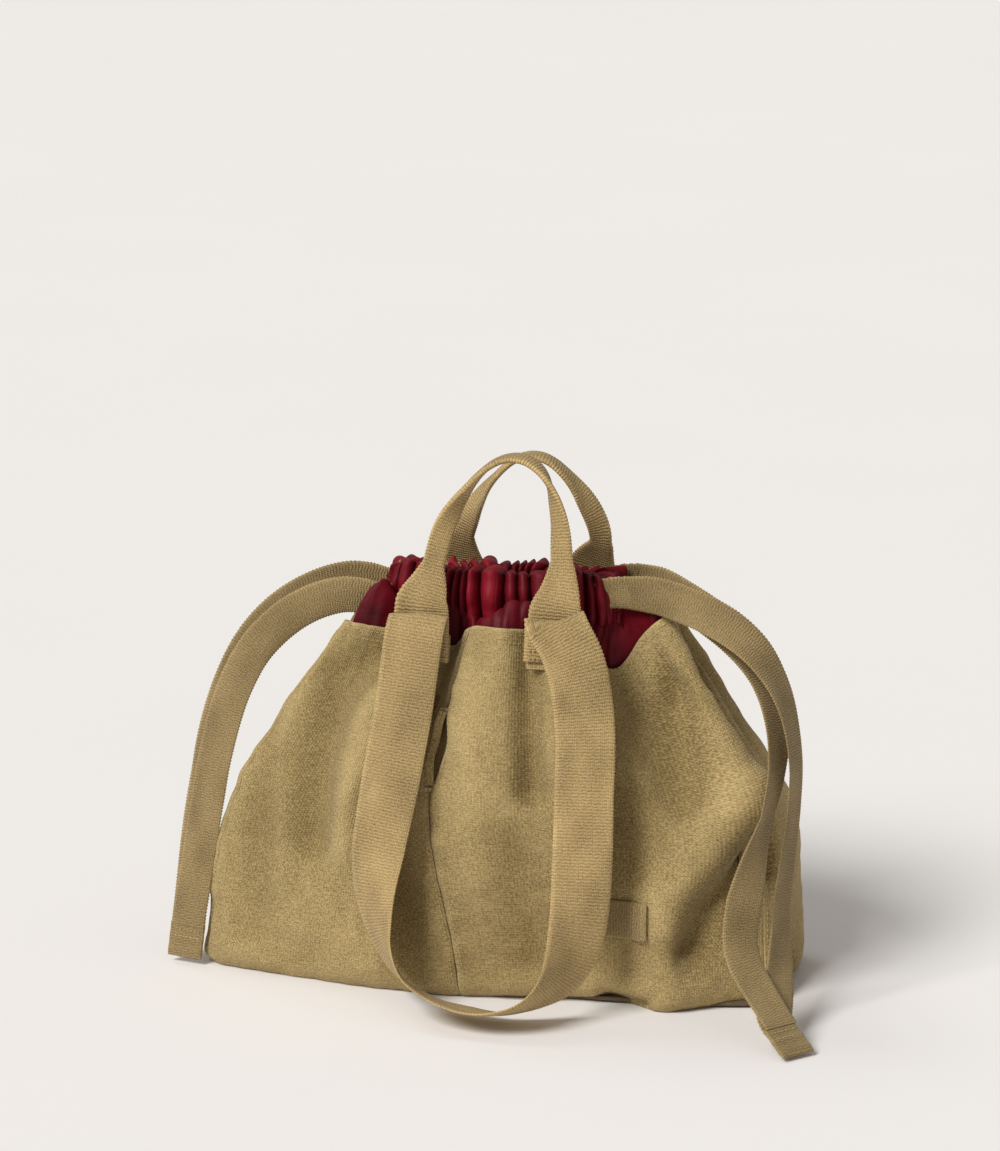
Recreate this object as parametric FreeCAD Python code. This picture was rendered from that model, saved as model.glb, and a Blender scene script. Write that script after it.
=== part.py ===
import FreeCAD, Part
import math
import os

# Drawstring bucket bag: a canvas body with pleated side gussets, a gathered
# nylon collar with a drawstring on each side, two grab handles and two long
# shoulder straps. Millimetres, +Z up, +X to the wearer's right when facing the
# front, front towards -Y. The origin is the centre of the base on the floor.

V = FreeCAD.Vector

# ---- driving dimensions -------------------------------------------------
# The body's plan at each height: half width, half depth, how far the side
# gusset is pleated inward, and where the front pocket seam runs.
HEIGHT, HALF_WIDTH, HALF_DEPTH, PLEAT, SEAM_X = range(5)
LEVELS = [
    (0, 190, 74, 0, -10),
    (28, 197, 85, 6, -22),
    (80, 190, 84, 14, -30),
    (130, 174, 77, 24, -33),
    (180, 150, 67, 30, -29),
    (220, 126, 58, 28, -22),
    (250, 110, 51, 22, -18),
]
RIM_Z = LEVELS[-1][HEIGHT]

CANVAS = 1.6            # canvas wall
FACING_IN = 1.7         # turned hem inside the rim, from the outer face
FACING_OUT = 3.0
FACING_DROP = 24
LINING_IN = 3.3         # nylon lining, from the canvas's outer face
LINING_OUT = 4.1

BASE_PANEL = 2.0        # thicknesses of the stack at the bottom
BASE_BOARD = 2.4
BASE_LINING = 0.8

COLLAR_HALF_WIDTH = 80
COLLAR_HALF_DEPTH = 24
COLLAR_BOTTOM = 246
COLLAR_TOP = 290
COLLAR_WALL = 1.5
MOUTH_HALF_WIDTH = 55
MOUTH_HALF_DEPTH = 12
SKIRT_BOTTOM = 240      # where the skirt meets the lining inside the rim
SKIRT_THICK = 2.4       # measured level, across its slope

LANE_Y = 17.6           # the drawstring's runs in the collar, front and back
LANE_TALL = 12.0        # webbing folded in half lengthwise
LANE_THICK = 2.2
LEFT_LANE_Z = 258
RIGHT_LANE_Z = 273
EXIT_X = 81.6           # where the loop in the collar ends, at the casing's slots
BIGHT_X = 57            # centre of its turn at the far end

STRAP_WIDTH = 40
STRAP_THICK = 2.0
CORD_WIDTH = 25         # drawstring webbing
CORD_THICK = 1.3

ANCHOR_X = 46           # middle of each handle and strap anchor
ANCHOR_LOW = 226
HANDLE_HINGE_Z = 262
STRAP_HINGE_Z = 257

PATCH_CENTRE = (85, 58)         # label patch, x and z of its middle
PATCH_SIZE = (68, 27)
PATCH_THICK = 1.6


# ---- plan outlines ------------------------------------------------------
def at_height(z, column):
    """One column of LEVELS at height z, straight between the rows."""
    for low, high in zip(LEVELS, LEVELS[1:]):
        if low[HEIGHT] <= z <= high[HEIGHT]:
            part = (z - low[HEIGHT]) / (high[HEIGHT] - low[HEIGHT])
            return low[column] + part * (high[column] - low[column])
    return LEVELS[-1][column] if z > RIM_Z else LEVELS[0][column]


def outline(half_width, half_depth, pleat, seam_x):
    """Sixteen plan points, anticlockwise from the front left fold."""
    w, d = half_width, half_depth
    front = [(-w, -0.80 * d), (-0.76 * w, -0.95 * d), (-0.44 * w, -d),
             (seam_x, -d), (0.44 * w, -d), (0.76 * w, -0.95 * d), (w, -0.80 * d)]
    right = [(w - 0.55 * pleat, -0.36 * d), (w - pleat, 0), (w - 0.55 * pleat, 0.36 * d)]
    back = [(-x, -y) for x, y in front if x != seam_x]
    left = [(-x, -y) for x, y in right]
    return front + right + back + left


FRONT_LEFT = range(0, 4)
FRONT_CENTRE = range(3, 7)
RIGHT_GUSSET = range(6, 11)
BACK = range(10, 16)
LEFT_GUSSET = [15, 16, 17, 18, 0]


def oval(half_width, half_depth):
    """The same number of plan points round the collar's flattened oval."""
    w, d = half_width, half_depth
    front = [(-0.90 * w, -0.80 * d), (-0.70 * w, -0.96 * d), (-0.44 * w, -d),
             (-0.15 * w, -d), (0.44 * w, -d), (0.70 * w, -0.96 * d), (0.90 * w, -0.80 * d)]
    right = [(0.98 * w, -0.42 * d), (w, 0), (0.98 * w, 0.42 * d)]
    back = [(-x, -y) for i, (x, y) in enumerate(front) if i != 3]
    left = [(-x, -y) for x, y in right]
    return front + right + back + left


def inset(points, depth):
    """Move a closed plan outline inward by depth, with mitred corners."""
    moved = []
    for i, (x, y) in enumerate(points):
        before, after = points[i - 1], points[(i + 1) % len(points)]
        a = V(x - before[0], y - before[1], 0).normalize()
        b = V(after[0] - x, after[1] - y, 0).normalize()
        inward_a, inward_b = V(-a.y, a.x, 0), V(-b.y, b.x, 0)
        middle = (inward_a + inward_b).normalize()
        reach = depth / middle.dot(inward_a)
        moved.append((x + middle.x * reach, y + middle.y * reach))
    return moved


def plan(z, depth=0.0):
    row = [at_height(z, column) for column in (HALF_WIDTH, HALF_DEPTH, PLEAT, SEAM_X)]
    return inset(outline(*row), depth)


def polygon(points):
    return Part.makePolygon(points + points[:1])


def loft(wires):
    return Part.makeLoft(wires, True, True)


def heights(low, high):
    inner = [row[HEIGHT] for row in LEVELS if low < row[HEIGHT] < high]
    return [low] + inner + [high]


def wall(indices, low, high, outer, inner):
    """A stretch of the body's wall between two insets and two heights."""
    wires = []
    for z in heights(low, high):
        out, back = plan(z, outer), plan(z, inner)
        ring = [out[i] for i in indices] + [back[i] for i in reversed(indices)]
        wires.append(polygon([V(x, y, z) for x, y in ring]))
    return loft(wires)


def disc(low, high, depth):
    """The whole plan at the base, as a plate."""
    wires = [polygon([V(x, y, z) for x, y in plan(low, depth)]) for z in (low, high)]
    return loft(wires)


def box(low, high):
    size = V(*high) - V(*low)
    return Part.makeBox(size.x, size.y, size.z, V(*low))


# ---- webbing ------------------------------------------------------------
def rounded_route(route, name):
    """Straight runs joined by tangent arcs, as stations along the route.

    A route is a list of (point, width direction, width, thickness). Each arc's
    radius is 0.45 of the shorter run over the tangent of half the turn.
    """
    points = [V(*station[0]) for station in route]
    stations, radii = [(points[0], points[1] - points[0], 0.0)], []
    for i in range(1, len(points) - 1):
        into, out = points[i] - points[i - 1], points[i + 1] - points[i]
        turn = into.getAngle(out)
        cut = 0.45 * min(into.Length, out.Length)
        radii.append(cut / math.tan(turn / 2))
        start = points[i] - V(into).normalize() * cut
        end = points[i] + V(out).normalize() * cut
        lean = (V(out).normalize() - V(into).normalize()).normalize()
        bulge = points[i] + lean * (cut / math.sin(turn / 2) * (1 / math.cos(turn / 2) - 1)
                                    * math.cos(turn / 2))
        share = cut / into.Length
        stations.append((start, V(into), i - share))
        stations.append((bulge, V(into).normalize() + V(out).normalize(), float(i)))
        stations.append((end, V(out), i + cut / out.Length))
    stations.append((points[-1], points[-1] - points[-2], float(len(points) - 1)))
    print(name, "radii", [round(r, 1) for r in radii])
    return stations


def webbing(name, route):
    """A flat band swept along a route, as a ruled solid."""
    wires, length, last = [], 0.0, None
    for point, tangent, where in rounded_route(route, name):
        low = min(int(where), len(route) - 2)
        part = where - low
        one, two = route[low], route[low + 1]
        wide = V(*one[1]) * (1 - part) + V(*two[1]) * part
        width = one[2] + (two[2] - one[2]) * part
        thick = one[3] + (two[3] - one[3]) * part
        tangent = V(tangent).normalize()
        wide = (wide - tangent * wide.dot(tangent)).normalize() * (width / 2)
        up = tangent.cross(V(wide).normalize()) * (thick / 2)
        wires.append(polygon([point - wide - up, point + wide - up,
                              point + wide + up, point - wide + up]))
        length += (point - last).Length if last else 0.0
        last = point
    shape = loft(wires)
    print(name, "length", round(length, 1), "volume", round(shape.Volume),
          "section x length", round(length * route[len(route) // 2][2] * route[len(route) // 2][3]))
    return shape


def band(route, across, width, thick):
    """Give every point of a route the same width direction and section."""
    return [(point, across, width, thick) for point in route]


def mirrored(shape, normal):
    return shape.mirror(V(0, 0, 0), normal)


def front_y(z):
    """The canvas's outer face on the middle of the front."""
    return -at_height(z, HALF_DEPTH)


# ---- canvas body --------------------------------------------------------
def pocket_patch(z, grow):
    """The pocket bag's section at height z, behind the front wall."""
    seam, y = at_height(z, SEAM_X), front_y(z) + CANVAS + 0.9
    left, right = seam - 34 - grow, seam + 22 + grow
    near, far = y - grow, y + 10 + grow
    return polygon([V(left, near, z), V(right, near, z), V(right, far, z), V(left, far, z)])


POCKET_LOW, POCKET_HIGH = 96, 198
MOUTH_LOW, MOUTH_HIGH = 138, 190
MOUTH_HALF = 4.2


def pocket_solid(grow):
    levels = heights(POCKET_LOW - grow, POCKET_HIGH + grow)
    return loft([pocket_patch(z, grow) for z in levels])


def pocket_mouth(grow):
    """The slot through the front wall along the pocket seam."""
    wires = []
    for z in heights(MOUTH_LOW - grow, MOUTH_HIGH + grow):
        seam, y = at_height(z, SEAM_X), front_y(z)
        near, far, half = y - 6, y + CANVAS + 2.0, MOUTH_HALF + grow
        wires.append(polygon([V(seam - half, near, z), V(seam + half, near, z),
                              V(seam + half, far, z), V(seam - half, far, z)]))
    return loft(wires)


def front_panel_left():
    return wall(FRONT_LEFT, 0, RIM_Z, 0, CANVAS).cut(pocket_mouth(1.2))


def front_panel_centre():
    return wall(FRONT_CENTRE, 0, RIM_Z, 0, CANVAS).cut(pocket_mouth(1.2))


def pocket_welt():
    """A narrow folded frame that lines the slot, flush with the canvas."""
    wires = []
    for z in heights(MOUTH_LOW - 1.2, MOUTH_HIGH + 1.2):
        seam, y, half = at_height(z, SEAM_X), front_y(z), MOUTH_HALF + 1.2
        wires.append(polygon([V(seam - half, y - 0.8, z), V(seam + half, y - 0.8, z),
                              V(seam + half, y + CANVAS, z), V(seam - half, y + CANVAS, z)]))
    return loft(wires).cut(pocket_mouth(0))


def pocket_bag():
    shell = pocket_solid(0.8).cut(pocket_solid(0))
    return shell.cut(pocket_mouth(0.4))


def pocket_bartacks():
    """A short dense bar of stitching across each end of the slot."""
    bars = []
    for z in (MOUTH_LOW - 4.2, MOUTH_HIGH + 2.2):
        x, y = at_height(z, SEAM_X), front_y(z)
        bars.append(box((x - 6, y - 1.2, z), (x + 6, y - 0.2, z + 2)))
    return Part.makeCompound(bars)


def base_panel():
    return disc(0, BASE_PANEL, CANVAS + 0.1)


def base_board():
    return disc(BASE_PANEL, BASE_PANEL + BASE_BOARD, 6.0)


def lining_base():
    low = BASE_PANEL + BASE_BOARD
    return disc(low, low + BASE_LINING, 6.0)


def lining_front():
    low = BASE_PANEL + BASE_BOARD
    whole = list(LEFT_GUSSET[2:]) + list(range(1, 9))
    return wall(whole, low, SKIRT_BOTTOM - 0.3, LINING_IN, LINING_OUT).cut(pocket_solid(1.2))


def lining_back():
    low = BASE_PANEL + BASE_BOARD
    return wall(list(range(8, 18)), low, SKIRT_BOTTOM - 0.3, LINING_IN, LINING_OUT)


def rim_facing():
    """The turned canvas hem inside the rim, in one ring."""
    low = RIM_Z - FACING_DROP
    front = wall(list(LEFT_GUSSET[2:]) + list(range(1, 9)), low, RIM_Z, FACING_IN, FACING_OUT)
    back = wall(list(range(8, 18)), low, RIM_Z, FACING_IN, FACING_OUT)
    return Part.makeCompound([front, back])


def rim_topstitching():
    """A raised line of thread round the outside, just under the rim."""
    low, high = RIM_Z - 6.0, RIM_Z - 5.0
    front = wall(list(range(0, 7)), low, high, -0.3, 0)
    back = wall(list(range(10, 16)), low, high, -0.3, 0)
    return Part.makeCompound([front, back])


# ---- nylon collar -------------------------------------------------------
def ring_half(indices, rows):
    """Half of a ring lofted through (height, outer outline, inner outline)."""
    wires = []
    for z, out, back in rows:
        ring = [out[i] for i in indices] + [back[i] for i in reversed(indices)]
        wires.append(polygon([V(x, y, z) for x, y in ring]))
    return loft(wires)


FRONT_HALF = [17] + list(range(0, 9))
BACK_HALF = list(range(8, 18))


def lining_skirt(indices):
    """The slack nylon between the canvas rim and the collar."""
    neck = oval(COLLAR_HALF_WIDTH - 1, COLLAR_HALF_DEPTH - 1)
    low = plan(RIM_Z, FACING_OUT + 1.4)
    crest = [(0.5 * (a + c), 0.5 * (b + d)) for (a, b), (c, d) in zip(low, neck)]
    rows = [(SKIRT_BOTTOM, low, inset(low, SKIRT_THICK)),
            (COLLAR_BOTTOM - 1.5, crest, inset(crest, SKIRT_THICK)),
            (COLLAR_BOTTOM - 0.2, neck, inset(neck, SKIRT_THICK))]
    return ring_half(indices, rows)


def collar_tube(half_width, half_depth, low, high):
    points = oval(half_width, half_depth)
    return loft([polygon([V(x, y, z) for x, y in points]) for z in (low, high)])


def collar_whole():
    """The casing: a hollow ring with a tunnel and slots at its two ends."""
    ring = collar_tube(COLLAR_HALF_WIDTH, COLLAR_HALF_DEPTH, COLLAR_BOTTOM, COLLAR_TOP)
    ring = ring.cut(collar_tube(MOUTH_HALF_WIDTH, MOUTH_HALF_DEPTH, COLLAR_BOTTOM - 1, COLLAR_TOP + 1))
    low, high = COLLAR_BOTTOM + COLLAR_WALL, COLLAR_TOP - COLLAR_WALL
    tunnel = collar_tube(COLLAR_HALF_WIDTH - COLLAR_WALL, COLLAR_HALF_DEPTH - COLLAR_WALL, low, high)
    tunnel = tunnel.cut(collar_tube(MOUTH_HALF_WIDTH + COLLAR_WALL, MOUTH_HALF_DEPTH + COLLAR_WALL,
                                    low - 1, high + 1))
    ring = ring.cut(tunnel)
    for side, lane_z in ((-1, LEFT_LANE_Z), (1, RIGHT_LANE_Z)):
        for lane in (-1, 1):
            half = LANE_TALL / 2 + 0.8
            near, far = sorted((side * 66, side * 90))
            y = lane * LANE_Y
            ring = ring.cut(box((near, y - 1.9, lane_z - half), (far, y + 1.9, lane_z + half)))
    return ring


def collar_casing(side):
    """Front (-1) or back (1) half of the collar, split at its side seams."""
    low, high = sorted((side * 0.1, side * 60))
    keep = box((-100, low, COLLAR_BOTTOM - 5), (100, high, COLLAR_TOP + 5))
    return collar_whole().common(keep)


# ---- handles and straps -------------------------------------------------
def anchor_end(x, outward, low, high, hinge_y):
    """A sewn webbing end on the front wall, its middle outward of the canvas."""
    points = [(x, front_y(z) - outward, z) for z in (low, 239)]
    points.append((x, front_y(RIM_Z - 2) - outward - 0.2, RIM_Z - 2))
    points.append((x, hinge_y, high))
    return points


HANDLE_OFF = 1.5        # outward of the canvas to the handle's middle
STRAP_OFF = 3.9         # and to the shoulder strap's sewn end's middle
HANDLE_HINGE_Y = front_y(RIM_Z) - 1.5
STRAP_HINGE_Y = front_y(RIM_Z) - 6.5
BASE_WIDTH = 38
GRIP_WIDTH = 15         # where the handle is folded lengthwise
GRIP_THICK = 4.0


def grab_handle_ends(name):
    ends = []
    for x in (-ANCHOR_X, ANCHOR_X):
        points = anchor_end(x, HANDLE_OFF, ANCHOR_LOW, HANDLE_HINGE_Z - 1.6, HANDLE_HINGE_Y)
        ends.append(webbing(name, band(points, (1, 0, 0), BASE_WIDTH, STRAP_THICK)))
    return Part.makeCompound(ends)


def grab_handle_front():
    """The arch, wide and flat at its ends and folded narrow along its grip."""
    x, y = (1, 0, 0), (0, 1, 0)
    start, width, thick = HANDLE_HINGE_Z, BASE_WIDTH, STRAP_THICK
    route = [
        ((-46, HANDLE_HINGE_Y, start), x, width, thick),
        ((-46, HANDLE_HINGE_Y + 0.5, start + 6), x, 36, thick),
        ((-43, -48, 278), x, 27, 3.0),
        ((-40, -42, 292), x, GRIP_WIDTH, GRIP_THICK),
        ((-34, -36, 319), (0.8, 0.5, 0.4), GRIP_WIDTH, GRIP_THICK),
        ((-18, -30, 346), (0.4, 0.8, 0.3), GRIP_WIDTH, GRIP_THICK),
        ((2, -27, 363), y, GRIP_WIDTH, GRIP_THICK),
        ((22, -27, 364), y, GRIP_WIDTH, GRIP_THICK),
        ((37, -31, 350), (-0.4, 0.8, 0.3), GRIP_WIDTH, GRIP_THICK),
        ((45, -36, 325), (-0.8, 0.5, 0.2), GRIP_WIDTH, GRIP_THICK),
        ((48, -41, 299), (-1, 0, 0), GRIP_WIDTH, GRIP_THICK),
        ((48, -47.5, 280), (-1, 0, 0), 26, 3.0),
        ((46, HANDLE_HINGE_Y + 0.5, start + 6), (-1, 0, 0), 36, thick),
        ((46, HANDLE_HINGE_Y, start), (-1, 0, 0), width, thick),
    ]
    return webbing("grab_handle_front", route)


def grab_handle_back():
    x = (1, 0, 0)
    hinge_y, start, width, thick = -HANDLE_HINGE_Y, HANDLE_HINGE_Z, BASE_WIDTH, STRAP_THICK
    route = [
        ((-46, hinge_y, start), x, width, thick),
        ((-46, hinge_y - 0.5, start + 6), x, 36, thick),
        ((-45, 47.5, 278), x, 27, 3.0),
        ((-41, 41, 292), x, GRIP_WIDTH, GRIP_THICK),
        ((-32, 34, 313), (0.8, -0.5, 0.4), GRIP_WIDTH, GRIP_THICK),
        ((-17, 27, 335), (0.4, -0.8, 0.3), GRIP_WIDTH, GRIP_THICK),
        ((2, 22, 353), (0, -1, 0), GRIP_WIDTH, GRIP_THICK),
        ((22, 22, 354), (0, -1, 0), GRIP_WIDTH, GRIP_THICK),
        ((40, 27, 337), (-0.4, -0.8, 0.3), GRIP_WIDTH, GRIP_THICK),
        ((53, 34, 312), (-0.8, -0.5, 0.3), GRIP_WIDTH, GRIP_THICK),
        ((57, 40, 292), (-1, 0, 0), GRIP_WIDTH, GRIP_THICK),
        ((50, 47.5, 279), (-1, 0, 0), 27, 3.0),
        ((46, hinge_y - 0.5, start + 6), (-1, 0, 0), 36, thick),
        ((46, hinge_y, start), (-1, 0, 0), width, thick),
    ]
    return webbing("grab_handle_back", route)


def shoulder_strap_ends(name):
    """The sewn end goes up over the handle's end and turns at the rim."""
    ends = []
    for x in (-ANCHOR_X, ANCHOR_X):
        points = anchor_end(x, STRAP_OFF, ANCHOR_LOW + 6, STRAP_HINGE_Z - 1.5, STRAP_HINGE_Y + 1.2)
        ends.append(webbing(name, band(points, (1, 0, 0), STRAP_WIDTH, STRAP_THICK)))
    return Part.makeCompound(ends)


def shoulder_strap_front():
    """A long loop that hangs from the rim, twists and rests on the floor."""
    x = (1, 0, 0)
    wide, thick = STRAP_WIDTH, STRAP_THICK
    route = [
        ((-46, STRAP_HINGE_Y, STRAP_HINGE_Z), x, wide, thick),
        ((-46, STRAP_HINGE_Y - 6, STRAP_HINGE_Z - 1.5), x, wide, thick),
        ((-49, -70, 236), x, wide, thick),
        ((-52, -77, 200), x, wide, thick),
        ((-58, -90, 152), x, wide, thick),
        ((-65, -101, 106), (0.96, -0.25, 0), wide, thick),
        ((-66, -108, 72), (0.8, -0.6, 0.1), wide, thick),
        ((-59, -114, 45), (0.55, -0.8, 0.2), wide, thick),
        ((-44, -123, 26), (0.3, -0.9, 0.3), wide, thick),
        ((-22, -132, 16), (0.1, -0.95, 0.3), wide, thick),
        ((4, -138, 11), (0, -0.97, 0.25), wide, thick),
        ((30, -140, 11), (-0.1, -0.95, 0.3), wide, thick),
        ((55, -134, 20), (-0.3, -0.9, 0.3), wide, thick),
        ((71, -124, 38), (-0.6, -0.75, 0.2), wide, thick),
        ((77, -114, 66), (-0.85, -0.5, 0.1), wide, thick),
        ((77, -104, 104), (-0.97, -0.2, 0), wide, thick),
        ((74, -92, 152), (-1, 0, 0), wide, thick),
        ((70, -80, 200), (-1, 0, 0), wide, thick),
        ((58, -73.5, 228), (-1, 0, 0), wide, thick),
        ((48, -69, 245), (-1, 0, 0), wide, thick),
        ((46, STRAP_HINGE_Y - 6, STRAP_HINGE_Z - 1.5), (-1, 0, 0), wide, thick),
        ((46, STRAP_HINGE_Y, STRAP_HINGE_Z), (-1, 0, 0), wide, thick),
    ]
    return webbing("shoulder_strap_front", route)


def anchor_stitching(side):
    """Two bars of thread across each sewn strap end, front (-1) or back (1)."""
    bars = []
    for x in (-ANCHOR_X, ANCHOR_X):
        for z in (ANCHOR_LOW + 8.5, ANCHOR_LOW + 12.5):
            y = front_y(z) - STRAP_OFF - STRAP_THICK / 2
            bar = box((x - 16, y - 1.0, z), (x + 16, y - 0.5, z + 1.0))
            bars.append(bar if side < 0 else mirrored(bar, V(0, 1, 0)))
    return Part.makeCompound(bars)


def anchor_patches(side):
    """Reinforcement squares inside the rim behind each anchor."""
    patches = []
    for x in (-ANCHOR_X, ANCHOR_X):
        wires = []
        for z in (RIM_Z - FACING_DROP + 1, RIM_Z - 6):
            near = front_y(z) + LINING_OUT + 1.5
            far = near + 1.2
            wires.append(polygon([V(x - 18, near, z), V(x + 18, near, z),
                                  V(x + 18, far, z), V(x - 18, far, z)]))
        patch = loft(wires)
        patches.append(patch if side < 0 else mirrored(patch, V(0, 1, 0)))
    return Part.makeCompound(patches)


# ---- drawstrings --------------------------------------------------------
def drawstring_run(side, lane_z):
    """The loop in the collar: two straight runs and a turn at the far end."""
    thick, tall = LANE_THICK, LANE_TALL
    end = BIGHT_X

    def slot(radius):
        centre, low = end, lane_z - tall / 2
        length = EXIT_X + end - 0.2
        straight = Part.makeBox(length, 2 * radius, tall, V(-EXIT_X + 0.2, -radius, low))
        return straight.fuse(Part.makeCylinder(radius, tall, V(centre, 0, low)))

    loop = slot(LANE_Y + thick / 2).cut(slot(LANE_Y - thick / 2))
    return loop if side < 0 else mirrored(loop, V(1, 0, 0))


LEFT_FRONT_ROUTE = [
    (-87.6, -17.6, 258), (-104, -18.4, 260.5), (-121, -19.5, 257), (-139, -21.5, 249),
    (-156, -24.5, 236), (-171, -28, 219), (-182, -32, 198), (-190, -36, 174),
    (-196, -39.5, 146), (-201, -43.5, 116), (-204.5, -48.5, 86), (-208.5, -53, 56),
    (-211.7, -58, 27),
]
LEFT_BACK_ROUTE = [
    (-87.6, 17.6, 258), (-105, 16, 262), (-122, 12, 260.5), (-142, 5, 253),
    (-161, -4, 240), (-177, -13, 221), (-188, -21, 198), (-196, -27, 173),
    (-201, -33, 146), (-205, -38.5, 116), (-208.5, -43.5, 86), (-210.5, -49, 56),
    (-212.3, -54.8, 27),
]
RIGHT_FRONT_ROUTE = [
    (87.6, -17.6, 273), (104, -18.5, 273.5), (122, -21, 270), (142, -24.5, 264),
    (162, -28.5, 255), (180, -32, 241), (194, -35, 222), (203, -37.5, 199),
    (207, -40, 172), (208, -43, 143), (206, -48, 116), (204.5, -57, 92),
    (205, -72, 65), (208.5, -90, 38.5), (209.5, -108, 24.5), (210, -124.7, 17.9),
    (216.4, -130.5, 12.8),
]
RIGHT_BACK_ROUTE = [
    (87.6, 17.6, 273), (102, 14, 272), (118, 7, 266), (138, -3, 258),
    (159, -13, 247), (177, -21, 231), (189, -28, 210), (196, -39, 186),
    (197, -54, 162), (194, -72, 138), (189, -86, 113), (184, -95.5, 88), (182.5, -101, 64),
    (186.5, -106.5, 51), (195.5, -113, 39), (207, -122.4, 27), (217.6, -131.5, 17.2),
]
TAB_LONG, TAB_THICK, TAB_GAP = 22, 4.6, 1.0


def strand(route, *turns):
    """A strand that opens out from its folded end and turns on its way.

    Each turn is how far along the route, 0 to 1, and the width's direction.
    """
    steps = len(route) - 1
    stations = []
    for i, point in enumerate(route):
        share = i / steps
        for (low, one), (high, two) in zip(turns, turns[1:]):
            if low <= share <= high:
                part = (share - low) / (high - low)
                wide = V(*one) * (1 - part) + V(*two) * part
        opened = min(1.0, i / 3)
        stations.append((point, (wide.x, wide.y, wide.z),
                         LANE_TALL + (CORD_WIDTH - LANE_TALL) * opened,
                         LANE_THICK + (CORD_THICK - LANE_THICK) * opened))
    return stations


def drawstring_tab(end, direction, across):
    """The folded and sewn end that joins the two strands."""
    along, wide = V(*direction).normalize(), V(*across)
    wide = (wide - along * wide.dot(along)).normalize() * (CORD_WIDTH / 2 + 0.5)
    up = along.cross(V(wide).normalize()) * (TAB_THICK / 2)
    start = V(*end) + along * TAB_GAP
    wires = []
    for where in (start, start + along * TAB_LONG):
        wires.append(polygon([where - wide - up, where + wide - up,
                              where + wide + up, where - wide + up]))
    return loft(wires)


def tab_stitching(end, direction, across):
    """Two rows of thread on the tab's outer face."""
    along, wide = V(*direction).normalize(), V(*across)
    wide = (wide - along * wide.dot(along)).normalize() * (CORD_WIDTH / 2 - 1.5)
    up = along.cross(V(wide).normalize())
    rows = []
    for distance in (4, 9):
        wires = []
        for step in (0, 0.8):
            where = V(*end) + along * (distance + step) + up * (TAB_THICK / 2 + 0.35)
            wires.append(polygon([where - wide - up * 0.2, where + wide - up * 0.2,
                                  where + wide + up * 0.2, where - wide + up * 0.2]))
        rows.append(loft(wires))
    return Part.makeCompound(rows)


# ---- label patch --------------------------------------------------------
def front_face(x, z):
    """The canvas's outer face at any x on the front."""
    row = [at_height(z, column) for column in (HALF_WIDTH, HALF_DEPTH, PLEAT, SEAM_X)]
    points = outline(*row)[:7]
    for one, two in zip(points, points[1:]):
        if one[0] <= x <= two[0]:
            return one[1] + (two[1] - one[1]) * (x - one[0]) / (two[0] - one[0])


def patch_block(low_x, high_x, low_z, high_z, near, far):
    """A thin block that follows the front, between two distances from it."""
    bend = 0.44 * at_height(high_z, HALF_WIDTH)
    across = [low_x] + ([bend] if low_x < bend < high_x else []) + [high_x]
    wires = []
    for z in (low_z, high_z):
        out = [V(x, front_face(x, z) - near, z) for x in across]
        back = [V(x, front_face(x, z) - far, z) for x in reversed(across)]
        wires.append(polygon(out + back))
    return loft(wires)


def label_patch():
    (x, z), (wide, tall) = PATCH_CENTRE, PATCH_SIZE
    return patch_block(x - wide / 2, x + wide / 2, z - tall / 2, z + tall / 2,
                       PATCH_THICK + 0.2, 0.2)


def label_stitching():
    """Double rows of thread at the patch's two folded ends."""
    (x, z), (wide, tall) = PATCH_CENTRE, PATCH_SIZE
    rows = []
    for side in (-1, 1):
        for distance in (3, 6):
            middle = x + side * (wide / 2 - distance)
            rows.append(patch_block(middle - 0.4, middle + 0.4, z - tall / 2 + 2, z + tall / 2 - 2,
                                    PATCH_THICK + 0.7, PATCH_THICK + 0.3))
    return Part.makeCompound(rows)


# ---- all the nodes ------------------------------------------------------
BACKWARD = V(0, 1, 0)
LEFT_MIDDLE = (-212, -56.4, 27)         # where the left tab starts
LEFT_ALONG = (-2, -5.5, -27)
LEFT_ACROSS = (-1, 0.15, 0)
RIGHT_MIDDLE = (217, -131, 15)          # where the right tab starts
RIGHT_ALONG = (14, -12.5, -11)
RIGHT_ACROSS = (0.665, 0.745, 0)
LEFT_TURNS = ((0, (0, 0, 1)), (0.6, LEFT_ACROSS), (1, LEFT_ACROSS))
RIGHT_FRONT_TURNS = ((0, (0, 0, 1)), (0.5, (0.15, 1, 0)), (0.8, (0.3, 0.95, 0)), (1, RIGHT_ACROSS))
RIGHT_BACK_TURNS = ((0, (0, 0, 1)), (0.4, (0.3, 0.9, 0.3)), (0.6, (0.15, 1, 0)),
                    (0.75, (0.85, 0.5, 0)), (1, RIGHT_ACROSS))

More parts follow.
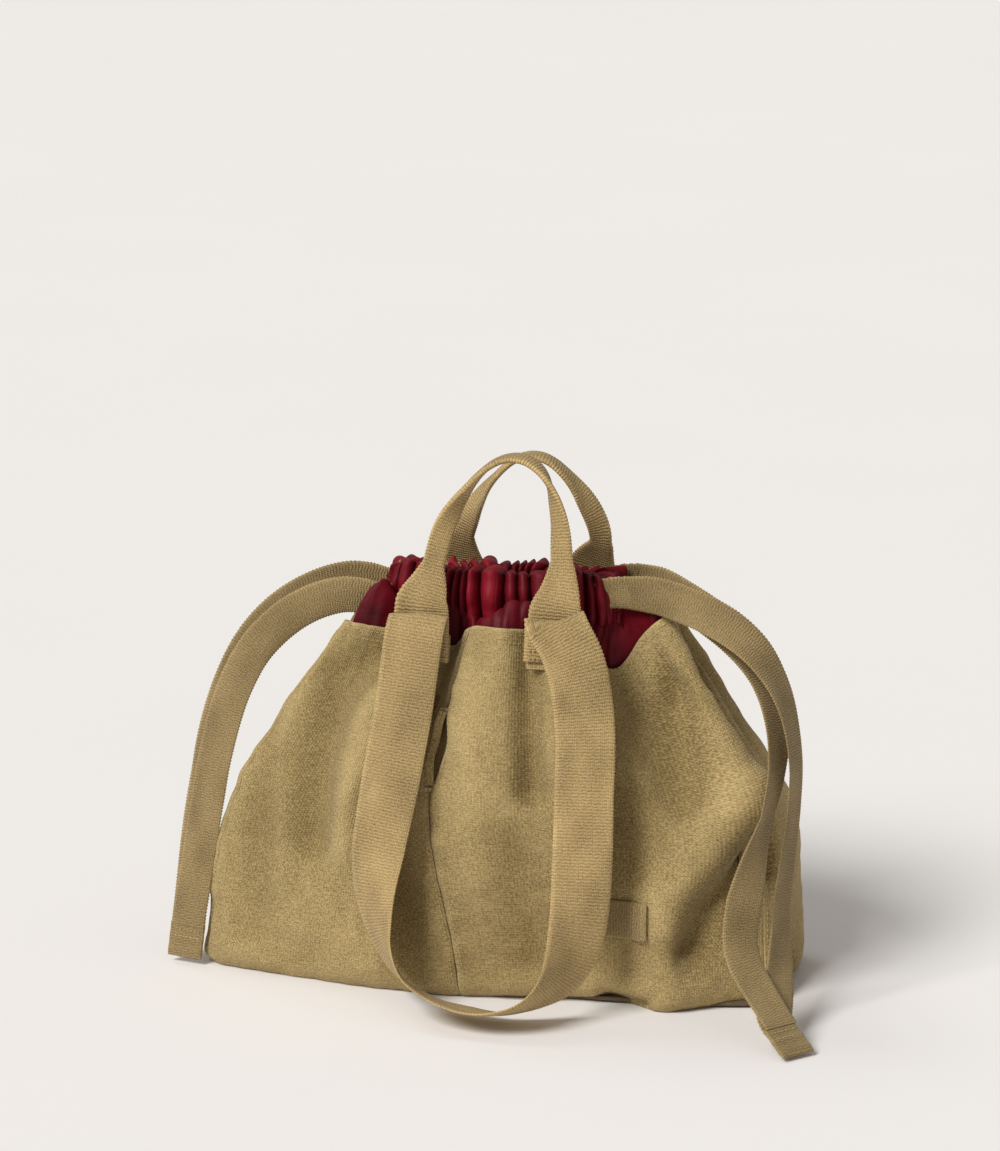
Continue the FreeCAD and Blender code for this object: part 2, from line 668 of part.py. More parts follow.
nodes = {
    "front_panel_left": front_panel_left(),
    "front_panel_centre": front_panel_centre(),
    "side_gusset_right": wall(list(RIGHT_GUSSET), 0, RIM_Z, 0, CANVAS),
    "side_gusset_left": wall(LEFT_GUSSET, 0, RIM_Z, 0, CANVAS),
    "back_panel": wall(list(BACK), 0, RIM_Z, 0, CANVAS),
    "base_panel": base_panel(),
    "base_board": base_board(),
    "rim_facing": rim_facing(),
    "rim_topstitching": rim_topstitching(),
    "lining_front": lining_front(),
    "lining_back": lining_back(),
    "lining_base": lining_base(),
    "lining_skirt_front": lining_skirt(FRONT_HALF),
    "lining_skirt_back": lining_skirt(BACK_HALF),
    "collar_casing_front": collar_casing(-1),
    "collar_casing_back": collar_casing(1),
    "pocket_welt": pocket_welt(),
    "pocket_bag": pocket_bag(),
    "pocket_bartacks": pocket_bartacks(),
    "label_patch": label_patch(),
    "label_stitching": label_stitching(),
    "grab_handle_front_ends": grab_handle_ends("grab_handle_front_ends"),
    "grab_handle_front": grab_handle_front(),
    "grab_handle_back_ends": mirrored(grab_handle_ends("grab_handle_back_ends"), BACKWARD),
    "grab_handle_back": grab_handle_back(),
    "shoulder_strap_front_ends": shoulder_strap_ends("shoulder_strap_front_ends"),
    "shoulder_strap_front": shoulder_strap_front(),
    "shoulder_strap_back_ends": mirrored(shoulder_strap_ends("shoulder_strap_back_ends"), BACKWARD),
    "shoulder_strap_back": mirrored(shoulder_strap_front(), BACKWARD),
    "anchor_stitching_front": anchor_stitching(-1),
    "anchor_stitching_back": anchor_stitching(1),
    "anchor_patches_front": anchor_patches(-1),
    "anchor_patches_back": anchor_patches(1),
    "drawstring_left_run": drawstring_run(-1, LEFT_LANE_Z),
    "drawstring_right_run": drawstring_run(1, RIGHT_LANE_Z),
    "drawstring_left_strand_front": webbing(
        "left_front", strand(LEFT_FRONT_ROUTE, *LEFT_TURNS)),
    "drawstring_left_strand_back": webbing(
        "left_back", strand(LEFT_BACK_ROUTE, *LEFT_TURNS)),
    "drawstring_left_tab": drawstring_tab(LEFT_MIDDLE, LEFT_ALONG, LEFT_ACROSS),
    "drawstring_left_tab_stitching": tab_stitching(LEFT_MIDDLE, LEFT_ALONG, LEFT_ACROSS),
    "drawstring_right_strand_front": webbing(
        "right_front", strand(RIGHT_FRONT_ROUTE, *RIGHT_FRONT_TURNS)),
    "drawstring_right_strand_back": webbing(
        "right_back", strand(RIGHT_BACK_ROUTE, *RIGHT_BACK_TURNS)),
    "drawstring_right_tab": drawstring_tab(RIGHT_MIDDLE, RIGHT_ALONG, RIGHT_ACROSS),
    "drawstring_right_tab_stitching": tab_stitching(RIGHT_MIDDLE, RIGHT_ALONG, RIGHT_ACROSS),
}

os.makedirs("parts", exist_ok=True)
for name, shape in nodes.items():
    shape.exportStep("parts/" + name + ".step")
    low, high = shape.BoundBox.getPoint(0), shape.BoundBox.getPoint(6)
    print(f"{name:34s} valid {shape.isValid()} solids {len(shape.Solids)} "
          f"volume {shape.Volume:9.0f} z {shape.BoundBox.ZMin:.1f}..{shape.BoundBox.ZMax:.1f}")
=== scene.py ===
import math

import bpy
import numpy as np
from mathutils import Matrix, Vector


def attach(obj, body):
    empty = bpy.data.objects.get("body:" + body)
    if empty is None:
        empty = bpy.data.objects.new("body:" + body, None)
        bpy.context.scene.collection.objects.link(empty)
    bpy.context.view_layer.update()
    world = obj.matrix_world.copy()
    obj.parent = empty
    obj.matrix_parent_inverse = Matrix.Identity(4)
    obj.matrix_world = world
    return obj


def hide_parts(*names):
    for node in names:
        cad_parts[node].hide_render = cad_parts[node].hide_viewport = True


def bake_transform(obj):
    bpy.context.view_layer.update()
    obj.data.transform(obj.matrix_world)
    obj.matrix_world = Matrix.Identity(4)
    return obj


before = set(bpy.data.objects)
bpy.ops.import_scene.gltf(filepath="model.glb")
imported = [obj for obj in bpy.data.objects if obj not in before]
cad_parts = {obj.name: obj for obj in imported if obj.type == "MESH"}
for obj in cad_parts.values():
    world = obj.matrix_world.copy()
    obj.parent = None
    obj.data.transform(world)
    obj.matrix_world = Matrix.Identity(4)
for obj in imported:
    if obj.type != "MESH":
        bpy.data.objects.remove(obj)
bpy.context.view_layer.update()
MM = 0.001

# ---- camera -------------------------------------------------------------
AZIMUTH, ELEVATION = math.radians(14), math.radians(15)
VIEW_WIDTH = 0.690          # metres across the picture at the target
TARGET = Vector((-0.0213, 0.0654, 0.2563))
DISTANCE = 3.5
SENSOR = 36.0


def link(name, data):
    """A new object in the scene for a mesh, curve, lamp or camera."""
    item = bpy.data.objects.new(name, data)
    bpy.context.collection.objects.link(item)
    return item


def make_camera():
    back = Vector((math.sin(AZIMUTH) * math.cos(ELEVATION),
                   -math.cos(AZIMUTH) * math.cos(ELEVATION), math.sin(ELEVATION)))
    data = bpy.data.cameras.new("camera")
    data.sensor_width, data.sensor_fit = SENSOR, "HORIZONTAL"
    data.lens = SENSOR * DISTANCE / VIEW_WIDTH
    data.clip_end = 30
    camera = link("camera", data)
    camera.location = TARGET + back * DISTANCE
    camera.rotation_euler = back.to_track_quat("Z", "Y").to_euler()
    bpy.context.scene.camera = camera


make_camera()


# ---- node helpers -------------------------------------------------------
class Shader:
    """A material under construction: each method adds a node and returns its output."""

    def __init__(self, name):
        self.material = bpy.data.materials.new(name)
        self.material.use_nodes = True
        self.nodes, self.links = self.material.node_tree.nodes, self.material.node_tree.links
        self.surface = self.nodes["Principled BSDF"]

    def put(self, socket, value):
        if isinstance(value, bpy.types.NodeSocket):
            self.links.new(value, socket)
        elif value is not None:
            socket.default_value = value

    def math(self, operation, a, b=None, c=None):
        node = self.nodes.new("ShaderNodeMath")
        node.operation = operation
        for socket, value in zip(node.inputs, (a, b, c)):
            self.put(socket, value)
        return node.outputs[0]

    def attribute(self, name, output="Vector"):
        node = self.nodes.new("ShaderNodeAttribute")
        node.attribute_name = name
        return node.outputs[output]

    def split(self, vector):
        node = self.nodes.new("ShaderNodeSeparateXYZ")
        self.links.new(vector, node.inputs[0])
        return node.outputs[0], node.outputs[1]

    def noise(self, vector, scale, detail=2.0, rough=0.5):
        node = self.nodes.new("ShaderNodeTexNoise")
        self.links.new(vector, node.inputs["Vector"])
        node.inputs["Scale"].default_value = scale
        node.inputs["Detail"].default_value = detail
        node.inputs["Roughness"].default_value = rough
        return node.outputs[0]

    def place(self):
        return self.nodes.new("ShaderNodeTexCoord").outputs["Object"]

    def stretch(self, value, low, high, to_low=0.0, to_high=1.0):
        node = self.nodes.new("ShaderNodeMapRange")
        for socket, number in zip(node.inputs, (value, low, high, to_low, to_high)):
            self.put(socket, number)
        return node.outputs[0]

    def mix(self, amount, a, b):
        node = self.nodes.new("ShaderNodeMix")
        node.data_type = "RGBA"
        self.put(node.inputs[0], amount)
        self.put(node.inputs[6], a)
        self.put(node.inputs[7], b)
        return node.outputs[2]

    def wave(self, value, pitch):
        """A sine from 0 to 1 along value, one cycle to each pitch."""
        turn = self.math("MULTIPLY", value, 2 * math.pi / pitch)
        return self.math("MULTIPLY_ADD", self.math("SINE", turn), 0.5, 0.5)

    def bump(self, height, distance, strength=1.0, under=None):
        node = self.nodes.new("ShaderNodeBump")
        node.inputs["Distance"].default_value = distance
        node.inputs["Strength"].default_value = strength
        self.put(node.inputs["Height"], height)
        self.put(node.inputs["Normal"], under)
        return node.outputs[0]

    def finish(self, color, roughness, normal, sheen=0.0, tint=(1, 1, 1, 1), gloss=0.25):
        self.put(self.surface.inputs["Base Color"], color)
        self.put(self.surface.inputs["Roughness"], roughness)
        self.put(self.surface.inputs["Normal"], normal)
        self.surface.inputs["Sheen Weight"].default_value = sheen
        self.surface.inputs["Sheen Tint"].default_value = tint
        self.surface.inputs["Specular IOR Level"].default_value = gloss
        return self.material


def canvas_material():
    """Stone-washed plain weave, with mixed dark and light threads, pale worn edges, painted shade in its
    fold valleys and paler worn ridges.
    """
    s = Shader("canvas")
    weave, place = s.attribute("weave"), s.place()
    u, v = s.split(weave)
    wander = s.noise(weave, 60, 2)
    across = s.math("MULTIPLY_ADD", wander, 0.0016, u)
    threads = s.math("MULTIPLY", s.wave(across, 1.9 * MM), s.wave(v, 1.6 * MM))
    twill = s.wave(s.math("ADD", across, v), 2.1 * MM)
    salt = s.noise(weave, 620, 3, 0.7)
    slub = s.noise(place, 190, 3, 0.6)
    wash = s.noise(place, 16, 4, 0.6)
    cloth = s.math("ADD", s.math("MULTIPLY", threads, 0.22), s.math("MULTIPLY", twill, 0.20))
    cloth = s.math("ADD", cloth, s.stretch(salt, 0.36, 0.64, 0, 0.58))
    fold, edge = s.attribute("fold", "Fac"), s.attribute("edge", "Fac")
    tone = s.math("ADD", cloth, s.stretch(wash, 0.3, 0.7, -0.05, 0.05))
    tone = s.math("ADD", tone, s.stretch(slub, 0.3, 0.7, -0.08, 0.08))
    # Painted shade: the fold depth darkens the cloth in its valleys, and it pales the ridges as wear.
    tone = s.math("MULTIPLY_ADD", fold, 0.26, tone)
    tone = s.math("MULTIPLY_ADD", edge, 0.30, tone)
    color = s.mix(s.stretch(tone, 0.0, 1.05), (0.190, 0.130, 0.043, 1), (0.640, 0.475, 0.215, 1))
    height = s.math("ADD", threads, s.math("MULTIPLY", salt, 1.2))
    normal = s.bump(height, 0.35 * MM, 0.9, s.bump(slub, 0.8 * MM, 0.5))
    return s.finish(color, s.stretch(salt, 0.3, 0.7, 0.82, 0.95), normal, 0.25, (0.9, 0.8, 0.6, 1))


def webbing_material(name, pitch, bands, bend, dark, light):
    """Ribbed webbing: cross ribs bent into chevrons, a picked selvedge and pale wear."""
    s = Shader(name)
    weave, place = s.attribute("weave"), s.place()
    u, v = s.split(weave)
    chevron = s.math("ABSOLUTE", s.math("WRAP", u, bands, -bands))
    ribs = s.wave(s.math("MULTIPLY_ADD", chevron, bend, v), pitch)
    yarns = s.wave(u, 1.25 * MM)
    salt, wash = s.noise(weave, 700, 2, 0.7), s.noise(place, 22, 4, 0.6)
    fold, edge = s.attribute("fold", "Fac"), s.attribute("edge", "Fac")
    tone = s.math("MULTIPLY_ADD", ribs, 0.26, s.math("MULTIPLY", yarns, 0.14))
    tone = s.math("ADD", tone, s.stretch(salt, 0.34, 0.66, 0, 0.48))
    tone = s.math("ADD", tone, s.stretch(wash, 0.3, 0.7, -0.10, 0.14))
    tone = s.math("MULTIPLY_ADD", edge, 0.30, tone)
    tone = s.math("MULTIPLY_ADD", fold, 0.30, tone)
    color = s.mix(s.stretch(tone, 0.0, 1.1), dark, light)
    height = s.math("ADD", ribs, s.math("MULTIPLY", yarns, 0.4))
    normal = s.bump(height, 0.45 * MM, 0.9, s.bump(salt, 0.3 * MM, 0.6))
    return s.finish(color, s.stretch(salt, 0.3, 0.7, 0.62, 0.8), normal, 0.2, (0.9, 0.8, 0.6, 1))


def nylon_material():
    """Fine glossy lining cloth, crinkled, with painted shade down in its gathers and a painted highlight on
    their crowns.
    """
    s = Shader("nylon")
    weave, place = s.attribute("weave"), s.place()
    u, v = s.split(weave)
    fine = s.math("MULTIPLY", s.wave(u, 0.8 * MM), s.wave(v, 0.8 * MM))
    wash, crinkle = s.noise(place, 26, 4, 0.6), s.noise(place, 85, 4, 0.65)
    fold = s.attribute("fold", "Fac")
    tone = s.math("ADD", s.stretch(wash, 0.3, 0.7, 0.25, 0.75), s.math("MULTIPLY", fine, 0.12))
    # Painted shade and highlight: the gathers' depth darkens the valleys almost to black and lightens the
    # crowns.
    tone = s.math("MULTIPLY_ADD", fold, 0.80, tone)
    color = s.mix(tone, (0.012, 0.0005, 0.001, 1), (0.230, 0.006, 0.016, 1))
    normal = s.bump(fine, 0.12 * MM, 0.5, s.bump(crinkle, 1.6 * MM, 0.45))
    return s.finish(color, s.stretch(crinkle, 0.3, 0.7, 0.40, 0.54), normal, 0.02,
                    (1.0, 0.2, 0.25, 1), gloss=0.16)


def thread_material(name, dark, light):
    s = Shader(name)
    place = s.place()
    x, y = s.split(place)
    twist = s.wave(s.math("ADD", x, y), 0.9 * MM)
    salt = s.noise(place, 900, 2)
    color = s.mix(s.math("MULTIPLY_ADD", twist, 0.5, s.math("MULTIPLY", salt, 0.5)), dark, light)
    return s.finish(color, s.stretch(salt, 0.3, 0.7, 0.5, 0.7), s.bump(twist, 0.2 * MM, 0.7), 0.1)


def board_material():
    s = Shader("board")
    place = s.place()
    fibre, speck = s.noise(place, 40, 5, 0.7), s.noise(place, 500, 2)
    color = s.mix(s.math("MULTIPLY_ADD", speck, 0.5, s.math("MULTIPLY", fibre, 0.6)),
                  (0.05, 0.035, 0.02, 1), (0.20, 0.14, 0.08, 1))
    return s.finish(color, s.stretch(speck, 0.3, 0.7, 0.7, 0.9), s.bump(fibre, 0.4 * MM, 0.6))


CANVAS_CLOTH = canvas_material()
WEBBING = webbing_material("webbing", 2.1 * MM, 2.6 * MM, 0.16, (0.17, 0.115, 0.042, 1),
                           (0.700, 0.490, 0.215, 1))
NARROW_WEBBING = webbing_material("narrow_webbing", 1.9 * MM, 3.1 * MM, 0.28,
                                  (0.14, 0.094, 0.034, 1), (0.480, 0.340, 0.155, 1))
NYLON = nylon_material()
THREAD = thread_material("thread", (0.32, 0.23, 0.10, 1), (0.74, 0.59, 0.34, 1))
BOARD = board_material()
SLOTS = {"canvas": CANVAS_CLOTH, "webbing": WEBBING, "narrow_webbing": NARROW_WEBBING,
         "nylon": NYLON, "thread": THREAD, "label": NARROW_WEBBING, "board": BOARD}


# ---- mesh helpers -------------------------------------------------------
def add_mesh(name, points, faces, slot, weave=None, fold=None, edge=None):
    mesh = bpy.data.meshes.new(name)
    mesh.from_pydata([tuple(p) for p in points], [], [tuple(f) for f in faces])
    mesh.validate()
    mesh.polygons.foreach_set("use_smooth", [True] * len(mesh.polygons))
    if weave is not None:
        mesh.attributes.new("weave", "FLOAT_VECTOR", "POINT").data.foreach_set(
            "vector", np.asarray(weave, np.float32).ravel())
    for label, values in (("fold", fold), ("edge", edge)):
        if values is not None:
            mesh.attributes.new(label, "FLOAT", "POINT").data.foreach_set(
                "value", np.asarray(values, np.float32).ravel())
    piece = link(name, mesh)
    piece.data.materials.append(SLOTS[slot])
    return piece


def run_lengths(points):
    """How far along a line of points each one is."""
    return np.concatenate([[0], np.cumsum(np.linalg.norm(np.diff(points, axis=0), axis=1))])


def read_at(wanted, places, rows):
    """Rows of values known at some places, read at the wanted ones."""
    return np.stack([np.interp(wanted, places, rows[:, k]) for k in range(rows.shape[1])], 1)


def unit(rows):
    return rows / np.linalg.norm(rows, axis=1, keepdims=True)


def tube_faces(rings, loop, base=0):
    """The sides of a tube whose points come ring by ring, loop points to a ring."""
    faces = []
    for i in range(rings - 1):
        for k in range(loop):
            a, b = base + i * loop + k, base + i * loop + (k + 1) % loop
            faces.append((a, b, b + loop, a + loop))
    return faces


def on_cloth(across, along):
    """Where each point lies on its flat cloth, for the weave."""
    return np.stack([across, along, 0 * across], -1)


def normals_of(grid, closed):
    """Unit normals of a grid of points, shape (around, up, 3), outward for a ring
    that runs anticlockwise seen from above and upward in its second direction."""
    if closed:
        wide = (np.roll(grid, -1, 0) - np.roll(grid, 1, 0))
    else:
        wide = np.gradient(grid, axis=0)
    normal = np.cross(wide, np.gradient(grid, axis=1))
    return normal / np.maximum(np.linalg.norm(normal, axis=2, keepdims=True), 1e-12)


def sheet_mesh(name, grid, thickness, slot, weave, fold=None, edge=None, closed=False):
    """A cloth with thickness from a grid of outer points; its back lies inward."""
    around, up = grid.shape[:2]
    back = grid - normals_of(grid, closed) * np.broadcast_to(thickness, (around, up))[..., None]
    points = np.concatenate([grid.reshape(-1, 3), back.reshape(-1, 3)])
    count = around * up
    columns = around if closed else around - 1
    faces = []
    for i in range(columns):
        j = (i + 1) % around
        for k in range(up - 1):
            a, b, c, d = i * up + k, j * up + k, j * up + k + 1, i * up + k + 1
            faces.append((a, b, c, d))
            faces.append((d + count, c + count, b + count, a + count))
        for k in (0, up - 1):
            a, b = i * up + k, j * up + k
            quad = (a, a + count, b + count, b)
            faces.append(quad if k == 0 else quad[::-1])
    if not closed:
        for i in (0, around - 1):
            for k in range(up - 1):
                a, b = i * up + k, i * up + k + 1
                quad = (a, b, b + count, a + count)
                faces.append(quad if i == 0 else quad[::-1])

    def both(values):
        return None if values is None else np.concatenate([values.reshape(-1)] * 2)
    doubled = np.concatenate([weave.reshape(-1, 3)] * 2)
    return add_mesh(name, points, faces, slot, doubled, both(fold), both(edge))


def smooth(values):
    return values * values * (3 - 2 * values)


def patchy(u, v, cell, seed):
    """Smooth random values from -1 to 1 over a plane, one independent value to a cell."""
    lattice = np.random.RandomState(seed).uniform(-1, 1, (64, 64))
    a, b = u / cell + 200, v / cell + 200
    i, j = np.floor(a).astype(int), np.floor(b).astype(int)
    p, q = smooth(a - i), smooth(b - j)
    low = lattice[i % 64, j % 64] * (1 - p) + lattice[(i + 1) % 64, j % 64] * p
    high = lattice[i % 64, (j + 1) % 64] * (1 - p) + lattice[(i + 1) % 64, (j + 1) % 64] * p
    return low * (1 - q) + high * q


def crease(x, z, path, depth, width):
    """Displacement of a soft line on a wall: a valley if depth is above 0, else a ridge."""
    nearest = np.full(np.shape(x), 1e9)
    for (x0, z0), (x1, z1) in zip(path, path[1:]):
        dx, dz = x1 - x0, z1 - z0
        share = np.clip(((x - x0) * dx + (z - z0) * dz) / (dx * dx + dz * dz), 0, 1)
        away = np.hypot(x - x0 - share * dx, z - z0 - share * dz)
        nearest = np.minimum(nearest, away)
    return -depth * np.exp(-(nearest / width) ** 2)


# ---- canvas shell -------------------------------------------------------
# The wall's columns, anticlockwise from the front left fold, in millimetres:
# its foot (x, y) on the floor, its middle (x, y, z) and its rim (x, y, z).
COLUMNS = [
    ((-201, -56), (-181, -50, 122), (-104, -38, 247)),
    ((-165, -67), (-146, -66, 126), (-84, -46, 246)),
    ((-129, -74), (-110, -76, 128), (-60, -50, 245)),
    ((-92, -81), (-78, -81, 128), (-40, -49, 244)),
    ((-48, -87), (-54, -81, 128), (-28, -34, 233)),
    ((-12, -86), (-35, -79, 130), (-15, -46, 250)),
    ((20, -81), (0, -83, 130), (4, -54, 253)),
    ((50, -76), (36, -83, 128), (26, -54, 252)),
    ((83, -68), (72, -80, 125), (48, -52, 248)),
    ((108, -75), (105, -76, 125), (68, -42, 236)),
    ((132, -82), (135, -72, 125), (81, -18, 221)),
    ((148, -73), (163, -64, 125), (95, -16, 241)),
    ((158, -66), (183, -53, 130), (107, -19, 254)),
    ((170, -58), (189, -38, 131), (114, -10, 257)),
    ((190, -46), (175, -18, 130), (108, 2, 246)),
    ((199, -36), (185, 2, 128), (114, 14, 247)),
    ((201, 0), (187, 24, 125), (106, 26, 238)),
    ((199, 36), (183, 48, 122), (110, 42, 244)),
    ((186, 62), (160, 66, 124), (92, 50, 246)),
    ((150, 74), (125, 74, 126), (66, 52, 246)),
    ((100, 80), (84, 78, 128), (46, 52, 246)),
    ((50, 84), (44, 80, 128), (20, 44, 239)),
    ((0, 85), (0, 79, 128), (0, 39, 237)),
    ((-50, 84), (-44, 80, 128), (-20, 45, 240)),
    ((-100, 80), (-84, 78, 128), (-46, 52, 246)),
    ((-150, 74), (-125, 72, 126), (-84, 47, 246)),
    ((-186, 62), (-162, 62, 124), (-104, 38, 247)),
    ((-200, 36), (-180, 40, 122), (-106, 22, 243)),
    ((-196, 4), (-162, 2, 122), (-84, 4, 233)),
    ((-200, -30), (-178, -28, 122), (-100, -20, 242)),
]
SEAM_COLUMN, FOLD_COLUMN, REAR_COLUMN, LAST_COLUMN = 5, 14, 18, 26
LOW_Z, HEEL_Z = 28, 7
KNOTS = (0.0, 0.035, 0.12, 0.5, 1.0)
FOOT_TUCK = 7                          # how far the wall turns in under itself
CANVAS_THICK = 1.4 * MM
WALL_RISE = 0.262                      # the canvas's length from foot to rim, in metres
SLIT_LOW, SLIT_HIGH = 0.564, 0.772       # the pocket's ends, as shares of the wall's height


def rings():
    """The wall's five rings of control points, in metres."""
    feet, heels, lows, middles, rims = [], [], [], [], []
    for foot, middle, rim in COLUMNS:
        shrink = 1 - FOOT_TUCK / math.hypot(*foot)
        feet.append((foot[0] * shrink, foot[1] * shrink, 0.6))
        heels.append((foot[0], foot[1], HEEL_Z))
        share = LOW_Z / middle[2]
        bulge = 4.0 * foot[1] / 85
        lows.append((foot[0] + (middle[0] - foot[0]) * share * 0.45,
                     foot[1] + (middle[1] - foot[1]) * share + bulge, LOW_Z))
        middles.append(middle)
        rims.append(rim)
    return [np.array(ring, float) * MM for ring in (feet, heels, lows, middles, rims)]


def around(ring, where):
    """A point on a closed smooth curve through a ring's points."""
    i = np.floor(where).astype(int)
    p = (where - i)[:, None]
    n = len(ring)
    a, b, c, d = (ring[(i + k) % n] for k in (-1, 0, 1, 2))
    return 0.5 * (2 * b + (c - a) * p + (2 * a - 5 * b + 4 * c - d) * p ** 2
                  + (3 * b - a - 3 * c + d) * p ** 3)


def rising(levels, t):
    """A smooth curve through the levels of points at the heights in KNOTS."""
    levels = np.stack(levels)
    knots = np.array(KNOTS)
    steps = np.diff(knots)[:, None, None]
    slopes = np.diff(levels, axis=0) / steps
    tangents = np.concatenate([slopes[:1], 0.5 * (slopes[:-1] + slopes[1:]), slopes[-1:]])
    rows = []
    for share in t:
        k = min(int(np.searchsorted(knots, share, "right")) - 1, len(knots) - 2)
        h = knots[k + 1] - knots[k]
        p = (share - knots[k]) / h
        rows.append(levels[k] * (2 * p ** 3 - 3 * p ** 2 + 1) + tangents[k] * h * (p ** 3 - 2 * p ** 2 + p)
                    + levels[k + 1] * (3 * p ** 2 - 2 * p ** 3) + tangents[k + 1] * h * (p ** 3 - p ** 2))
    return np.stack(rows, 1)


RINGS = rings()


def wall_points(where, t):
    return rising([around(ring, where) for ring in RINGS], t)


# Soft folds of the front wall: (x, z) along each in millimetres, depth, width.
FRONT_FOLDS = [
    ([(-71, 233), (-105, 205), (-116, 156), (-119, 103)], 13.0, 17),
    ([(-76, 200), (-92, 142), (-96, 100)], -5.0, 15),
    ([(-150, 150), (-165, 90), (-160, 30)], 5.0, 18),
    ([(29, 247), (32, 200), (36, 150)], 13.0, 11),
    ([(68, 215), (76, 160), (84, 130)], 6.0, 14),
    ([(112, 230), (120, 206)], 6.0, 6),
    ([(120, 206), (130, 175), (139, 149)], 11.0, 15),
    ([(98, 126), (106, 108)], 13.0, 27),
    ([(194, 112), (177, 92), (161, 72), (150, 46)], 19.0, 15),
    ([(88, 3), (112, 3)], 5.0, 6),
    ([(78, 17), (110, 15)], -4.5, 10),
    ([(-70, 120), (-52, 60), (-46, 20)], 6.0, 14),
    ([(20, 110), (38, 60), (44, 30)], 5.0, 18),
    ([(-14, 215), (-4, 150), (4, 90)], -4.0, 16),
    ([(122, 100), (128, 60)], -4.0, 14),
]
GUSSET_FOLDS = [
    ([(2, 236), (-4, 205), (-12, 160), (-17, 130), (-24, 90)], 12.0, 8),
    ([(26, 235), (25, 190), (24, 140)], 5.0, 8),
    ([(0, 88), (4, 40), (2, 2)], 4.5, 5),
]


def wall_shape(where, t, inward=0.0):
    """The canvas's folded surface, or one inward of it, and how deep each point lies; the canvas colour
    turns that depth into painted shade in the valleys and paler wear on the ridges.
    """
    base = wall_points(where, t)
    push = wall_push(base, where, t)
    closing = smooth(np.clip(where - (len(COLUMNS) - 1), 0, 1))[:, None]
    if closing.max() > 0:
        push = push * (1 - closing) + wall_push(base, where - len(COLUMNS), t) * closing
    # The folds die out where the front meets the gusset, so that the two stay joined.
    push = push * (1 - np.exp(-((where - FOLD_COLUMN) / 0.45) ** 2))[:, None]
    shape = base + normals_of(base, False) * (push * MM - inward)[..., None]
    shape[..., 2] = np.maximum(shape[..., 2], 0.0004)
    return shape, np.clip(push / 7.0, -1, 1)


def wall_push(base, where, t):
    """How far the folds move each point of the wall outward, in millimetres."""
    x, y, z = base[..., 0] / MM, base[..., 1] / MM, base[..., 2] / MM
    share = np.broadcast_to(t, x.shape)
    column = np.broadcast_to(where[:, None], x.shape)
    along = np.broadcast_to(arc_of(where)[:, None] / MM, x.shape)
    push = np.zeros_like(x)
    front = 1 / (1 + np.exp((y + 22) / 4)) * (column < 14.6)
    for path, depth, width in FRONT_FOLDS:
        push += crease(x, z, path, depth, width) * front
    right = (x > 60) * (column > 12.8) * (column < 18.5)
    for path, depth, width in GUSSET_FOLDS:
        push += crease(y, z, path, depth, width) * right
    # The front right fold swells over the crease below it.
    push += 10.0 * np.exp(-((x - 174) / 26) ** 2 - ((z - 144) / 20) ** 2) * front
    body = smooth(np.clip(share / 0.08, 0, 1)) * (1 - 0.5 * smooth(np.clip((share - 0.88) / 0.12, 0, 1)))
    lean = along + 0.25 * z
    push += (3.2 * patchy(lean, z * 0.45, 46, 11) + 1.7 * patchy(lean, z * 0.6, 21, 12)) * body
    push += 0.55 * patchy(along, z, 9, 13) + 0.18 * patchy(along, z, 4, 14)
    ridged = 1 - np.abs(patchy(lean + 4 * patchy(along, z, 24, 19), z * 0.7, 17, 15)) * 2
    push += 0.7 * ridged * body
    # Puckers gather along the seams.
    for seam in (0, SEAM_COLUMN, FOLD_COLUMN, REAR_COLUMN, LAST_COLUMN):
        away = np.abs(along - arc_at(seam) / MM)
        push += -1.6 * np.exp(-(away / 2.2) ** 2) * body
        pucker = np.sin(z / 4.1 + 2.0 * patchy(along, z, 20, 16 + seam))
        push += 0.7 * pucker * np.exp(-(away / 9.0) ** 2) * body
    # The hem ripples where it is stitched.
    hem = np.clip((share - 0.95) / 0.05, 0, 1)
    push += 0.35 * np.sin(along / 2.6 + 1.5 * patchy(along, z, 15, 18)) * hem
    return push


ARC_SAMPLES = np.linspace(0, len(COLUMNS), 1201)
ARC_TABLE = run_lengths(around(RINGS[2], ARC_SAMPLES % len(COLUMNS)))


def arc_of(where):
    """How far round the low ring a column is, in metres."""
    turns = np.floor(where / len(COLUMNS) - 1e-9)
    return np.interp(where - turns * len(COLUMNS), ARC_SAMPLES, ARC_TABLE) + turns * ARC_TABLE[-1]


def arc_at(column):
    return arc_of(np.array([float(column)]))[0]


def cloth_weave(where, t, shape):
    """The weave's coordinates on the wall: round it and up it, in metres."""
    return np.stack([np.broadcast_to(arc_of(where)[:, None], shape),
                     np.broadcast_to(t * WALL_RISE, shape), np.zeros(shape)], -1)


